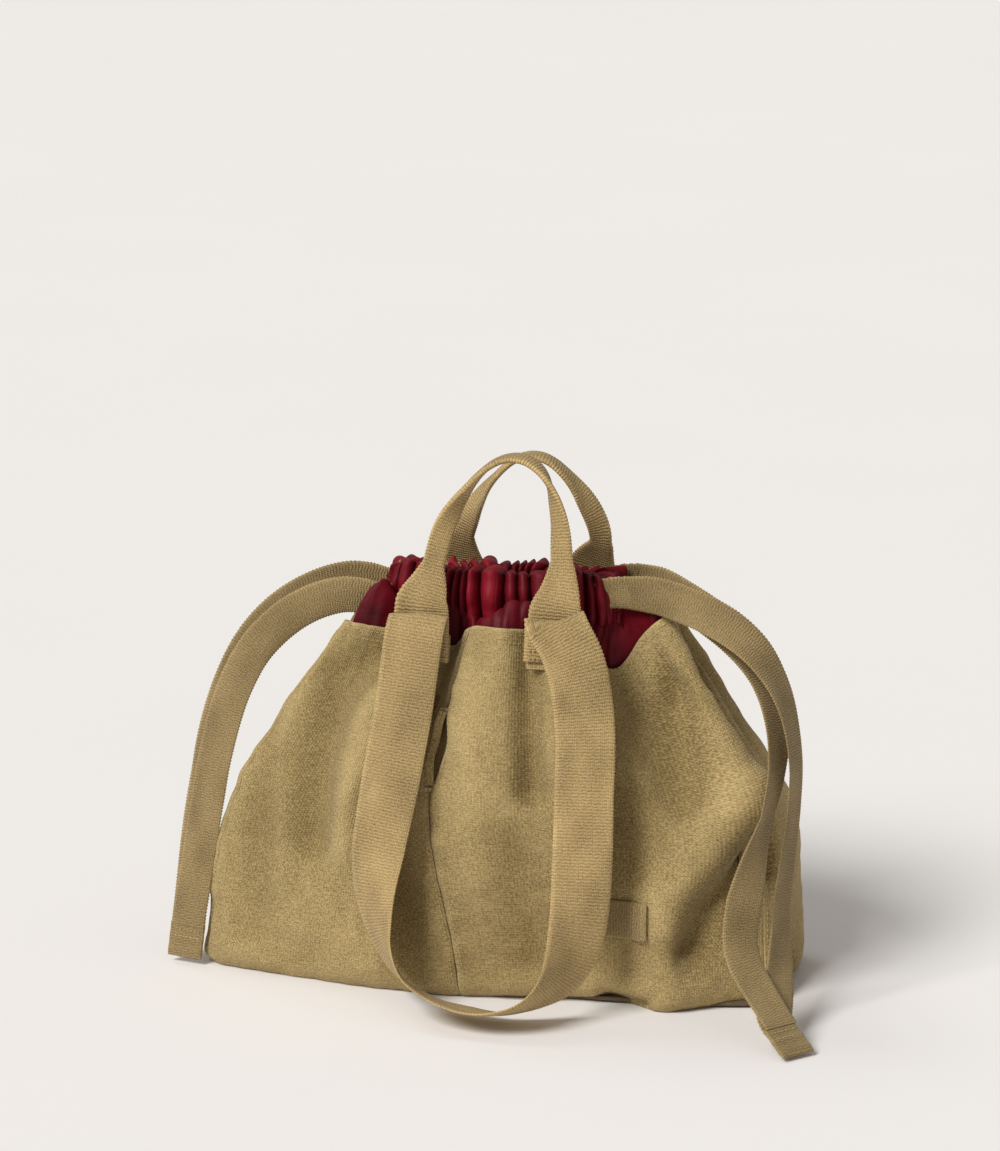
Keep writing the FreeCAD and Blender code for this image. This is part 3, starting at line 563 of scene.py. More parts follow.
def panel(name, first, last, step, nodes, open_left=None, open_right=None):
    """One canvas panel between two columns, with worn hems and its weave laid square."""
    start, end = arc_at(first), arc_at(last)
    count = int((end - start) / step) + 1
    where = np.interp(np.linspace(start, end, count), ARC_TABLE, ARC_SAMPLES)
    t = np.linspace(0, 1, int(WALL_RISE / step) + 1)
    shape, depth = wall_shape(where, t)
    weave = cloth_weave(where, t, depth.shape)
    u = weave[..., 0]
    slit = np.clip((t - SLIT_LOW) / (SLIT_HIGH - SLIT_LOW), 0, 1)
    gape = np.sin(math.pi * slit) ** 0.7 * (0.6 + 0.4 * np.cos(3.0 * (slit - 0.35)))
    for opening, distance in ((open_left, u - u[:1]), (open_right, u[-1:] - u)):
        if opening:
            fade = np.exp(-(distance / (9 * MM)) ** 2) * gape
            shape[..., 0] += opening[0] * MM * fade
            tuck = np.exp(-(distance / (5 * MM)) ** 2) * np.maximum(gape, 0.45)
            shape[..., 1] += opening[1] * MM * tuck
            depth = depth + 0.2 * fade
    rim = np.exp(-((1 - t) * WALL_RISE / (2.2 * MM)))
    sides = np.exp(-np.minimum(u - u[:1], u[-1:] - u) / (1.8 * MM))
    edge = np.clip(np.broadcast_to(rim, depth.shape) + 0.7 * sides, 0, 1)
    piece = sheet_mesh(name, shape, CANVAS_THICK, "canvas", weave, depth, edge)
    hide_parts(*nodes)
    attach(piece, "bag")
    return shape


FINE, COARSE = ((1.9 * MM, 2.8 * MM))


# ---- ribbons ------------------------------------------------------------
def spline_points(route, name, resolution):
    """The smooth line that a route's points control, as evenly read points."""
    curve = bpy.data.curves.new(name, "CURVE")
    curve.dimensions = "3D"
    curve.resolution_u = resolution
    line = curve.splines.new("NURBS")
    line.points.add(len(route) - 1)
    for point, place in zip(line.points, route):
        point.co = (*place, 1)
    line.order_u = 3
    line.use_endpoint_u = True
    holder = link(name, curve)
    bpy.context.view_layer.update()
    mesh = bpy.data.meshes.new_from_object(holder)
    points = np.array([v.co for v in mesh.vertices], float)
    bpy.data.objects.remove(holder)
    return points


def resampled(points, step):
    """The same line with points an even step apart, and how far along each is."""
    lengths = run_lengths(points)
    even = np.linspace(0, lengths[-1], max(8, int(lengths[-1] / step) + 1))
    return read_at(even, lengths, points), even


def along_route(values, route, points):
    """Values given at a route's points, read at each point of its spline."""
    runs = run_lengths(np.array(route, float))
    shares = np.linspace(0, 1, len(points)) * runs[-1]
    values = np.array(values, float)
    return np.interp(shares, runs, values) if values.ndim == 1 else read_at(shares, runs, values)


def ribbon(name, path, wide, width, thick, slot, crown=0.0, serration=0.35, step=0.75, seed=1):
    """A webbing with thickness along a path: wide is its width's direction at each point."""
    step = step * 1 * MM
    line, distance = resampled(path, step)
    share = np.linspace(0, 1, len(path))
    even = np.linspace(0, 1, len(line))
    wide = read_at(even, share, wide)
    width, thick = np.interp(even, share, width), np.interp(even, share, thick)
    tangent = unit(np.gradient(line, axis=0))
    wide = unit(wide - tangent * np.sum(wide * tangent, axis=1, keepdims=True))
    up = np.cross(tangent, wide)
    half = 13
    across = np.linspace(-1, 1, half)
    loop = [(a, 1.0) for a in across] + [(a, -1.0) for a in across[::-1]]
    rings_, weave, edge, fold = [], [], [], []
    wobble = serration * MM * np.sin(2 * math.pi * distance / (2.3 * MM))
    cockle = 0.5 * MM * patchy(distance / MM, 0 * distance, 30, seed)
    for a, side in loop:
        rounding = max(0.0, 1 - abs(a) ** 10)
        offset = a * (width / 2) + np.sign(a) * wobble * (abs(a) > 0.95)
        ripple = 0.35 * MM * patchy(distance / MM, a * width / MM, 17, seed + 3)
        lift = (side * thick / 2 * (0.35 + 0.65 * rounding) + cockle + ripple
                + crown * MM * (a * a - 0.33))
        rings_.append(line + wide * offset[:, None] + up * lift[:, None])
        weave.append(np.stack([a * width / 2, distance, 0 * distance], 1))
        edge.append(np.full(len(line), abs(a) ** 14))
        fold.append(0.5 * patchy(distance / MM, a * width / MM + 40 * side, 22, seed + 5))
    points, count = np.stack(rings_, 1), len(loop)
    faces = tube_faces(len(line), count)
    last = (len(line) - 1) * count
    for k in range(half - 1):
        other = count - 1 - k
        faces.append((k, other, other - 1, k + 1)[::-1])
        faces.append((last + k, last + other, last + other - 1, last + k + 1))
    return add_mesh(name, points.reshape(-1, 3), faces, slot, np.stack(weave, 1),
                    np.stack(fold, 1), np.stack(edge, 1))


STITCH_STEP = 0.6 * MM                 # how finely a stitched line is read


def stitches(name, line, up, body, length=2.4, gap=1.2, radius=0.32):
    """A row of short raised threads along a line of points, up away from the cloth."""
    line, distance = resampled(np.array(line, float), STITCH_STEP)
    tangent = unit(np.gradient(line, axis=0))
    up = np.array(up, float)
    points, faces = [], []
    where = 0.5 * length * MM
    while where < distance[-1] - 0.5 * length * MM:
        i = int(np.argmin(np.abs(distance - where)))
        along, side = tangent[i], np.cross(up if up.ndim == 1 else up[i], tangent[i])
        side /= max(np.linalg.norm(side), 1e-9)
        out = np.cross(along, side)
        base = len(points)
        for s, fat in ((-0.5, 0.25), (-0.3, 0.9), (0.0, 1.1), (0.3, 0.9), (0.5, 0.25)):
            sunk = 0.9 if abs(s) == 0.5 else 0
            centre = line[i] + along * s * length * MM - out * radius * MM * sunk
            for turn in range(6):
                angle = turn * math.pi / 3
                points.append(centre + (side * math.cos(angle) + out * math.sin(angle)) * radius * MM * fat)
        faces += tube_faces(5, 6, base)
        faces.append(tuple(base + k for k in range(5, -1, -1)))
        faces.append(tuple(base + 24 + k for k in range(6)))
        where += (length + gap) * MM
    piece = add_mesh(name, points, faces, "thread", np.array(points))
    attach(piece, body)
    return piece


# ---- drawstrings --------------------------------------------------------
CORD_WIDTH, CORD_THICK = 0.025, 0.0013
LOOP_WIDTH, LOOP_THICK = 0.0225, 0.0018       # inside the casing
LEFT_LANE_Z, RIGHT_LANE_Z, LANE_Y = 0.258, 0.273, 0.0176
LEFT_FRONT_ROUTE = [
    (-0.0876, -0.0176, 0.258), (-0.104, -0.0184, 0.2605), (-0.121, -0.0195, 0.257),
    (-0.139, -0.0215, 0.249), (-0.156, -0.0245, 0.236), (-0.171, -0.028, 0.219),
    (-0.182, -0.032, 0.198), (-0.190, -0.036, 0.174), (-0.196, -0.0395, 0.146),
    (-0.201, -0.0435, 0.116), (-0.2045, -0.0485, 0.086), (-0.2085, -0.053, 0.056),
    (-0.2117, -0.058, 0.027),
]
LEFT_BACK_ROUTE = [
    (-0.0876, 0.0176, 0.258), (-0.105, 0.016, 0.262), (-0.122, 0.012, 0.2605),
    (-0.142, 0.005, 0.253), (-0.161, -0.004, 0.240), (-0.177, -0.013, 0.221),
    (-0.188, -0.021, 0.198), (-0.196, -0.027, 0.173), (-0.201, -0.033, 0.146),
    (-0.205, -0.0385, 0.116), (-0.2085, -0.0435, 0.086), (-0.2105, -0.049, 0.056),
    (-0.2123, -0.0548, 0.027),
]
RIGHT_FRONT_ROUTE = [
    (0.0876, -0.0176, 0.273), (0.104, -0.0185, 0.2735), (0.122, -0.021, 0.270),
    (0.142, -0.0245, 0.264), (0.162, -0.0285, 0.255), (0.180, -0.032, 0.241),
    (0.194, -0.035, 0.222), (0.203, -0.0375, 0.199), (0.207, -0.040, 0.172),
    (0.208, -0.043, 0.143), (0.206, -0.048, 0.116), (0.2045, -0.057, 0.092),
    (0.205, -0.072, 0.065), (0.2085, -0.090, 0.0385), (0.2095, -0.108, 0.0245),
    (0.210, -0.1247, 0.0179), (0.2164, -0.1305, 0.0128),
]
RIGHT_BACK_ROUTE = [
    (0.0876, 0.0176, 0.273), (0.102, 0.014, 0.272), (0.118, 0.007, 0.266),
    (0.138, -0.003, 0.258), (0.159, -0.013, 0.247), (0.177, -0.021, 0.231),
    (0.189, -0.028, 0.210), (0.196, -0.039, 0.186), (0.197, -0.054, 0.162),
    (0.194, -0.072, 0.138), (0.189, -0.086, 0.113), (0.184, -0.0955, 0.088),
    (0.1825, -0.101, 0.064), (0.1865, -0.1065, 0.051), (0.1955, -0.113, 0.039),
    (0.207, -0.1224, 0.027), (0.2176, -0.1315, 0.0172),
]
LEFT_ACROSS, RIGHT_ACROSS = (-1, 0.15, 0), (0.665, 0.745, 0)
LEFT_TURNS = ((0, (0, 0, 1)), (0.6, LEFT_ACROSS), (1, LEFT_ACROSS))
RIGHT_FRONT_TURNS = ((0, (0, 0, 1)), (0.5, (0.15, 1, 0)), (0.8, (0.3, 0.95, 0)), (1, RIGHT_ACROSS))
RIGHT_BACK_TURNS = ((0, (0, 0, 1)), (0.4, (0.3, 0.9, 0.3)), (0.6, (0.15, 1, 0)),
                    (0.75, (0.85, 0.5, 0)), (1, RIGHT_ACROSS))
TAB_LONG, TAB_THICK, TAB_LAP = 24 * MM, 4.6 * MM, 1.2 * MM


def strand(name, route, turns, seed):
    """One flat drawstring strand from the collar's slot to the sewn tab."""
    path = spline_points(route, name + "_line", 24)
    share = np.linspace(0, 1, len(path))
    wide = read_at(share, [s for s, _ in turns], np.array([w for _, w in turns], float))
    width = np.interp(share, [0, 0.04, 1], [LOOP_WIDTH, CORD_WIDTH, CORD_WIDTH])
    thick = np.interp(share, [0, 0.05, 1], [LOOP_THICK, CORD_THICK, CORD_THICK])
    piece = ribbon(name, path, wide, width, thick, "narrow_webbing", crown=0.6, seed=seed)
    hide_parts(name)
    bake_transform(piece)


def tab(side, middle, along, across):
    """The folded end that joins both strands, with two rows of stitching."""
    along, wide = Vector(along).normalized(), Vector(across)
    wide = (wide - along * wide.dot(along)).normalized()
    up = along.cross(wide)
    start = Vector(middle) - along * TAB_LAP
    count, loop = 26, 22
    points, weave, edge = [], [], []
    for i in range(count):
        share = i / (count - 1)
        fat = math.sqrt(max(0.02, 1 - max(0.0, (share - 0.88) / 0.12) ** 2))
        for k in range(loop):
            angle = 2 * math.pi * k / loop
            c, s = math.cos(angle), math.sin(angle)
            a = math.copysign(abs(c) ** 0.25, c) * (CORD_WIDTH / 2 + 0.2 * MM)
            b = math.copysign(abs(s) ** 0.55, s) * TAB_THICK / 2 * fat
            b *= 0.84 + 0.16 * math.sin(18 * share)
            points.append(start + along * TAB_LONG * share + wide * a + up * b)
            weave.append((a, share * TAB_LONG, 0))
            edge.append(0.8 * abs(c) ** 8 + 0.4 * (share > 0.93))
    faces = tube_faces(count, loop)
    faces.append(tuple(range(loop - 1, -1, -1)))
    faces.append(tuple((count - 1) * loop + k for k in range(loop)))
    name = f"drawstring_{side}_tab_webbing"
    piece = add_mesh(name, points, faces, "narrow_webbing", weave, None, edge)
    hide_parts(f"drawstring_{side}_tab")
    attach(piece, f"drawstring_{side}")
    rows = []
    for row, far in enumerate((4.5, 9.5)):
        for face in (1, -1):
            centre = start + along * far * MM + up * face * (TAB_THICK / 2 - 0.1 * MM)
            line = [centre - wide * 10.5 * MM, centre, centre + wide * 10.5 * MM]
            rows.append(stitches(f"tab_row_{side}_{row}_{face + 1}", line, up * face,
                                 f"drawstring_{side}", 1.9, 0.9, 0.35))
    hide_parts(f"drawstring_{side}_tab_stitching")
    return [piece] + rows


def inner_run(side, lane_z):
    """The drawstring's loop inside the casing, round its far turn."""
    sign = -1 if side == "left" else 1
    bight = -sign * 0.057
    lane = [sign * 0.0890, sign * 0.078, sign * 0.060, sign * 0.040, bight]
    line = [(x, -LANE_Y, lane_z) for x in lane]
    for step in range(1, 12):
        angle = math.pi * step / 12
        line.append((bight - sign * LANE_Y * math.sin(angle), -LANE_Y * math.cos(angle), lane_z))
    line = np.array(line + [(x, LANE_Y, lane_z) for x in reversed(lane)])
    hidden = 1 - np.clip((np.abs(line[:, 0]) - 0.060) / 0.020, 0, 1)
    line[:, 2] -= hidden * 0.005 * (side == "right")
    width = LOOP_WIDTH - 0.0145 * hidden
    piece = ribbon(f"drawstring_{side}_loop", line, np.tile((0, 0, 1.0), (len(line), 1)), width,
                   np.full(len(line), LOOP_THICK), "narrow_webbing", step=1.5, seed=60)
    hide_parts(f"drawstring_{side}_run")
    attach(piece, f"drawstring_{side}_slider")


left_tab = tab("left", (-0.212, -0.0564, 0.027), (-2, -5.5, -27), LEFT_ACROSS)
right_tab = tab("right", (0.217, -0.131, 0.015), (14, -12.5, -11), RIGHT_ACROSS)
strand("drawstring_left_strand_front", LEFT_FRONT_ROUTE, LEFT_TURNS, 21)
strand("drawstring_left_strand_back", LEFT_BACK_ROUTE, LEFT_TURNS, 27)
strand("drawstring_right_strand_front", RIGHT_FRONT_ROUTE, RIGHT_FRONT_TURNS,
       33)
strand("drawstring_right_strand_back", RIGHT_BACK_ROUTE, RIGHT_BACK_TURNS,
       39)
inner_run("left", LEFT_LANE_Z)
inner_run("right", RIGHT_LANE_Z)

# ---- canvas panels ------------------------------------------------------
left_shape = panel("canvas_front_left", 0, SEAM_COLUMN, FINE, ["front_panel_left"],
                   open_right=(-1.2, 1.6))
centre_shape = panel("canvas_front_centre", SEAM_COLUMN, FOLD_COLUMN, FINE, ["front_panel_centre"],
                     open_left=(6.5, -1.6))
right_shape = panel("canvas_gusset_right", FOLD_COLUMN, REAR_COLUMN, FINE, ["side_gusset_right"])
back_shape = panel("canvas_back", REAR_COLUMN, LAST_COLUMN, COARSE, ["back_panel"])
gusset_shape = panel("canvas_gusset_left", LAST_COLUMN, len(COLUMNS), COARSE, ["side_gusset_left"])


def ring_at(share, inward, drop=0.0, count=360):
    """The wall's outline at a share of its height, moved inward and down."""
    where = np.linspace(0, len(COLUMNS), count, endpoint=False)
    t = np.array([max(0.0, share - 0.01), max(0.01, share)])
    line = wall_shape(where, t, inward)[0][:, 1 if share > 0 else 0]
    line[:, 2] -= drop
    return line


def base_canvas():
    """The bottom panel, a little slack, from the foot of the wall inward."""
    foot = ring_at(0.0, 0.8 * MM)
    foot[:, 2] = 0.0012
    centre = foot.mean(0)
    rows = np.linspace(0, 1, 24)
    grid = np.stack([centre + (foot - centre) * (1 - share) for share in rows[:-1]]
                    + [centre + (foot - centre) * 0.004], 1)
    grid[..., 2] = 0.0012 + 0.0005 * patchy(grid[..., 0] / MM, grid[..., 1] / MM, 30, 71)
    weave = on_cloth(grid[..., 0], grid[..., 1])
    piece = sheet_mesh("canvas_base", grid, -1.2 * MM, "canvas", weave,
                       0 * grid[..., 0], np.tile(np.exp(-rows * 40), (len(foot), 1)), closed=True)
    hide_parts("base_panel")
    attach(piece, "bag")


base_canvas()


# ---- nylon collar, skirt and lining -------------------------------------
COLLAR_HALF_WIDTH, COLLAR_HALF_DEPTH = 77 * MM, 22.5 * MM
MOUTH_HALF_WIDTH, MOUTH_HALF_DEPTH = 58 * MM, 12.5 * MM
NECK_Z, CREST_Z = 250 * MM, 284 * MM
BACK_DROP = 7 * MM           # how much lower the crest is at the back
GATHERS = 38


def oval(turn, half_width, half_depth):
    """A flattened oval, squarer than an ellipse."""
    c, s = np.cos(turn), np.sin(turn)
    return np.stack([half_width * np.sign(c) * np.abs(c) ** 0.50,
                     half_depth * np.sign(s) * np.abs(s) ** 0.40], -1)


OVAL_TURNS = np.linspace(0, 2 * math.pi, 40001)
OVAL_SHARES = run_lengths(oval(OVAL_TURNS, COLLAR_HALF_WIDTH, COLLAR_HALF_DEPTH))
OVAL_SHARES = OVAL_SHARES / OVAL_SHARES[-1]
OVAL_PLACES = oval(OVAL_TURNS, 1, 1)
OVAL_ANGLES = np.unwrap(np.arctan2(OVAL_PLACES[:, 1], OVAL_PLACES[:, 0]))
GATHER_SIZES = np.random.RandomState(5).uniform(0.65, 1.25, GATHERS)


def gather(turn, height):
    """Irregular tight folds round the collar: round tubes with sharp valleys between."""
    share = np.interp(np.mod(turn, 2 * math.pi), OVAL_TURNS, OVAL_SHARES)
    ring = 2 * math.pi * share
    warp = 0.45 * np.sin(3 * ring + 0.6) + 0.30 * np.sin(7 * ring + 2.2)
    slant = (0.30 * np.sin(4 * ring + 1.3) + 0.22 * np.sin(9 * ring)) * height
    phase = share * GATHERS + warp + slant
    tube = phase - np.floor(phase)
    crown = np.sqrt(np.maximum(0, 1 - (2 * tube - 1) ** 2))
    size = GATHER_SIZES[np.floor(phase).astype(int) % GATHERS]
    return crown * size - 0.62


def collar():
    """The gathered casing: up outside, over its crest and down inside the mouth."""
    count = 960
    turn = np.interp(np.linspace(0, 1, count, endpoint=False), OVAL_SHARES, OVAL_TURNS)
    outer = [(NECK_Z, 1.0, 1.06), (NECK_Z + 7 * MM, 1.01, 1.12), (NECK_Z + 20 * MM, 1.0, 1.16),
             (CREST_Z - 6 * MM, 0.985, 1.06), (CREST_Z, 0.95, 0.90)]
    inner = [(CREST_Z - 2 * MM, 1.12, 1.22), (CREST_Z - 10 * MM, 1.02, 1.04),
             (NECK_Z + 14 * MM, 1.0, 1.0), (NECK_Z + 1 * MM, 1.04, 1.06)]
    rows = [(z, COLLAR_HALF_WIDTH * a, COLLAR_HALF_DEPTH * b) for z, a, b in outer]
    rows += [(z, MOUTH_HALF_WIDTH * a, MOUTH_HALF_DEPTH * b) for z, a, b in inner]
    rows = np.array(rows)
    fine = np.linspace(0, len(rows) - 1, 64)
    line = around_open(rows, fine)
    grid = np.zeros((count, len(fine), 3))
    folds = np.zeros((count, len(fine)))
    for k, (z, a, b) in enumerate(line):
        height = (z - NECK_Z) / (CREST_Z - NECK_Z)
        outside = fine[k] < 4
        depth = (11.5 if outside else 6.0) * (0.8 + 0.2 * math.cos(math.pi * (2 * height - 1)) ** 2)
        fold = gather(turn, height) if outside else gather(turn, 2 - height)
        xy = oval(turn, a, b)
        direction = np.stack([xy[:, 0] / (a * a), xy[:, 1] / (b * b)], 1)
        direction /= np.linalg.norm(direction, axis=1, keepdims=True)
        # The cloth lies flatter where the drawstrings leave the casing's ends.
        calm = 1 - 0.8 * np.exp(-((np.abs(xy[:, 0]) / MM - 76) / 9) ** 2) * (np.abs(xy[:, 1]) > 9 * MM)
        fold = fold * calm
        sign = 1 if outside else -1
        # Each side keeps clear of the drawstrings that run between them.
        clear = 0.15 if outside else 0.35
        xy = xy + direction * (sign * depth * MM * (fold + clear))[:, None]
        lump = patchy(turn * 70, np.full(count, height * 30), 9, 81) * 0.8 * MM
        grid[:, k, :2] = xy + direction * lump[:, None]
        scallop = (5.0 * fold + 2.2 * np.sin(5 * turn + 0.5)) * MM * height * (0.4 + 0.6 * height)
        grid[:, k, 2] = z + scallop - BACK_DROP * smooth(np.clip(0.5 + 0.6 * np.sin(turn), 0, 1)) * height
        # The gathers' depth becomes painted shade in their valleys and a painted highlight on their crowns
        # in the nylon's colour.
        folds[:, k] = np.clip(fold * 0.9, -1, 0.6)
    u = np.broadcast_to((turn * 0.085)[:, None], folds.shape)
    v = np.broadcast_to(fine * 0.011, folds.shape)
    piece = sheet_mesh("collar_casing", grid, 0.5 * MM, "nylon", on_cloth(u, v),
                       folds, None, closed=True)
    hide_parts("collar_casing_front", "collar_casing_back")
    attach(piece, "bag")


def around_open(points, where):
    """A smooth open curve through points, at positions counted in points."""
    last = len(points) - 1
    i = np.clip(np.floor(where).astype(int), 0, last - 1)
    p = (where - i)[:, None]
    a, b = points[np.clip(i - 1, 0, last)], points[i]
    c, d = points[np.clip(i + 1, 0, last)], points[np.clip(i + 2, 0, last)]
    return 0.5 * (2 * b + (c - a) * p + (2 * a - 5 * b + 4 * c - d) * p ** 2
                  + (3 * b - a - 3 * c + d) * p ** 3)


def skirt():
    """Slack nylon from inside the rim up to the collar's neck, puffed and creased."""
    count, rows = ((720, 34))
    where = np.linspace(0, len(COLUMNS), count, endpoint=False)
    rim = ring_at(1.0, 3.6 * MM, 9 * MM, count)
    angle = np.mod(np.arctan2(rim[:, 1] / 0.052, rim[:, 0] / 0.112), 2 * math.pi)
    turn = np.interp(angle, OVAL_ANGLES, OVAL_TURNS)
    neck_xy = oval(turn, COLLAR_HALF_WIDTH - 1 * MM, COLLAR_HALF_DEPTH - 1 * MM)
    share = np.linspace(0, 1, rows)
    arc_mm = arc_of(where) / MM
    grid, folds = np.zeros((count, rows, 3)), np.zeros((count, rows))
    for k, w in enumerate(share):
        fold = gather(turn, 0.0)
        grid[:, k, :2] = rim[:, :2] * (1 - w) + neck_xy * w
        swell = 0.85 + 0.6 * patchy(where * 3, 0 * where, 5, 91)
        puff = 20 * MM * math.sin(math.pi * w ** 0.85) ** 0.9 * swell
        z = rim[:, 2] * (1 - w) + (NECK_Z + 1.5 * MM) * w + puff
        lumps = patchy(arc_mm, w * 30 + 0 * where, 26, 92) * math.sin(math.pi * w)
        ripple = 12.0 * MM * fold * w ** 1.2 * (1 - 0.35 * w) + 11.0 * MM * lumps
        grid[:, k, 2] = z + ripple * math.sin(math.pi * min(1, w * 1.02)) ** 0.5
        outward = np.stack([np.cos(turn), np.sin(turn)], 1)
        grid[:, k, :2] += outward * (9.5 * MM * fold * w)[:, None]
        # Painted shade and highlight: the gathers are darker in their valleys and lighter on their crowns,
        # and the skirt is painted darker towards the rim where it sinks inside the canvas.
        folds[:, k] = np.clip(fold * w * 0.8 - 0.25 * (1 - w), -1, 0.6)
    arc = np.broadcast_to(arc_of(where)[:, None], folds.shape)
    v = np.broadcast_to(share * 0.06, folds.shape)
    piece = sheet_mesh("nylon_skirt", grid, 0.5 * MM, "nylon", on_cloth(arc, v),
                       folds, None, closed=True)
    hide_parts("lining_skirt_front", "lining_skirt_back")
    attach(piece, "bag")


def lining():
    """The nylon lining, just inside the canvas, with its floor."""
    count, rows = 240, 36
    where = np.linspace(0, len(COLUMNS), count, endpoint=False)
    t = np.linspace(0.022, 0.965, rows)
    # The ends are thin and creased, so the lining lies close against the canvas
    # there, and it hangs behind the pocket bag.
    reach = np.abs(wall_points(where, t)[..., 0]) / MM
    tip = smooth(np.clip((reach - 75) / 30, 0, 1)) * smooth(np.clip(2 * t - 0.7, 0, 1))
    tip = np.maximum(tip, smooth(np.clip((reach - 140) / 30, 0, 1)))
    pocket_side = np.exp(-((where - SEAM_COLUMN) / 1.4) ** 4)[:, None]
    behind = pocket_side * smooth(np.clip(7 - 15 * np.abs(t - 0.6), 0, 1))
    grid = wall_shape(where, t, (6.5 - 4.7 * tip + 10.0 * behind) * MM)[0]
    weave = cloth_weave(where, t, grid.shape[:2])
    piece = sheet_mesh("nylon_lining", grid, 0.5 * MM, "nylon", weave, 0 * grid[..., 0], None,
                       closed=True)
    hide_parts("lining_front", "lining_back")
    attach(piece, "bag")
    foot = grid[:, 0].copy()
    foot[:, 2] = 5.6 * MM
    centre = foot.mean(0)
    floor = np.stack([centre + (foot - centre) * s for s in np.linspace(1, 0.004, 18)], 1)
    floor[..., 2] = 5.6 * MM + 0.3 * MM * patchy(floor[..., 0] / MM, floor[..., 1] / MM, 25, 95)
    cloth = sheet_mesh("nylon_lining_floor", floor, -0.5 * MM, "nylon",
                       floor.copy(), 0 * floor[..., 0], None, closed=True)
    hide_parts("lining_base")
    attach(cloth, "bag")


collar()
skirt()
lining()


# ---- hem, seams and pocket ----------------------------------------------
def rim_band():
    """The turned hem inside the rim."""
    count = 760
    where = np.linspace(0, len(COLUMNS), count, endpoint=False)
    t = np.linspace(0.905, 1.0, 12)
    grid = wall_shape(where, t, 1.9 * MM)[0]
    grid[..., 2] -= 0.3 * MM
    weave = cloth_weave(where, t, grid.shape[:2])
    piece = sheet_mesh("rim_hem", grid, 1.1 * MM, "canvas", weave, 0 * grid[..., 0],
                       np.broadcast_to((t > 0.99) * 0.8, grid.shape[:2]).copy(), closed=True)
    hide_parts("rim_facing")
    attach(piece, "bag")


def rim_rows():
    """Two rows of stitching round the rim, lying on each panel's surface."""
    for index, (shape, row_share) in enumerate(
            [(s, r) for s in (left_shape, centre_shape, right_shape, back_shape, gusset_shape)
             for r in (0.985, 0.966)]):
        k = int(round(row_share * (shape.shape[1] - 1)))
        normal = normals_of(shape, False)
        line = shape[:, k] + normal[:, k] * 0.15 * MM
        first = stitches(f"rim_stitching_{index}", line, mean_up(line, normal[:, k]), "bag",
                         2.2, 1.2, 0.30)
        if index == 0:
            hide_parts("rim_topstitching")


def mean_up(line, normal):
    """A normal for each point that stitches() reads after it resamples the line."""
    count = len(resampled(np.array(line, float), STITCH_STEP)[1])
    return read_at(np.linspace(0, 1, count), np.linspace(0, 1, len(line)), normal)


def seam_rows():
    """Topstitching down the pocket seam and the outer folds."""
    for name, shape, offset in (("seam_stitching_left", left_shape, -3),
                                ("seam_stitching_centre", centre_shape, 2),
                                ("seam_stitching_right", right_shape, 2)):
        normal = normals_of(shape, False)
        line = shape[offset] + normal[offset] * 0.15 * MM
        stitches(name, line, mean_up(line, normal[offset]), "bag", 2.4, 1.3, 0.3)


def pocket():
    """The welt along the slit's left lip, the bag behind it and a bar at each end."""
    rows = left_shape.shape[1]
    low, high = int(SLIT_LOW * (rows - 1)), int(SLIT_HIGH * (rows - 1))
    lip = left_shape[-1, low:high + 1]
    normal = normals_of(left_shape, False)[-1, low:high + 1]
    line = lip + normal * 1.8 * MM
    line[:, 0] -= 2.2 * MM
    welt = ribbon("pocket_welt_strip", line, np.tile((1.0, 0.1, 0), (len(line), 1)),
                  np.full(len(line), 5.6 * MM), np.full(len(line), 1.6 * MM), "canvas",
                  serration=0.1, step=1.0, seed=44)
    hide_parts("pocket_welt")
    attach(welt, "bag")
    for index, k in enumerate((low - 1, high + 1)):
        centre = 0.5 * (left_shape[-1, k] + centre_shape[0, k])
        for row in range(4):
            at = centre + np.array([0, -1.0 * MM, (row - 1.5) * 0.7 * MM])
            line = [at - np.array([5.5 * MM, 0, 0.6 * MM]), at, at + np.array([5.5 * MM, 0, 0.6 * MM])]
            stitches(f"pocket_bartack_{index}_{row}", line, (0, -1, 0), "bag",
                                 3.2, 0.1, 0.42)
    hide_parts("pocket_bartacks")
    height = np.linspace(0.38, 0.80, 26)
    turn = np.linspace(0, 2 * math.pi, 48, endpoint=False)
    grid = np.zeros((len(turn), len(height), 3))
    middle = wall_points(np.full(1, SEAM_COLUMN - 0.15), height)[0]
    for k, share in enumerate(height):
        fat = math.sin(math.pi * (k + 0.6) / (len(height) + 0.2)) ** 0.35
        ring = oval(turn, 27 * MM * fat, 4.0 * MM * fat)
        grid[:, k, 0] = middle[k, 0] + ring[:, 0]
        grid[:, k, 1] = middle[k, 1] + 9.0 * MM + ring[:, 1]
        grid[:, k, 2] = middle[k, 2]
    weave = on_cloth(grid[..., 0], grid[..., 2])
    # Painted shade: the pocket bag gets the canvas's darkest tone so the pocket's inside reads dark.
    lining_bag = sheet_mesh("pocket_lining", grid, 0.5 * MM, "canvas", weave,
                            np.full(grid.shape[:2], -3.0), None, closed=True)
    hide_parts("pocket_bag")
    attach(lining_bag, "bag")


rim_band()
rim_rows()
seam_rows()
pocket()


# ---- label patch --------------------------------------------------------
PATCH_CENTRE, PATCH_SIZE, PATCH_TILT = (82, 63), (68, 26), 1.5


def surface_at(x, z):
    """The point of the canvas's front surface nearest to x and z."""
    away = (centre_shape[..., 0] - x) ** 2 + (centre_shape[..., 2] - z) ** 2
    away = away + (centre_shape[..., 1] > -0.04) * 1.0
    i, k = np.unravel_index(int(np.argmin(away)), away.shape)
    return centre_shape[i, k]


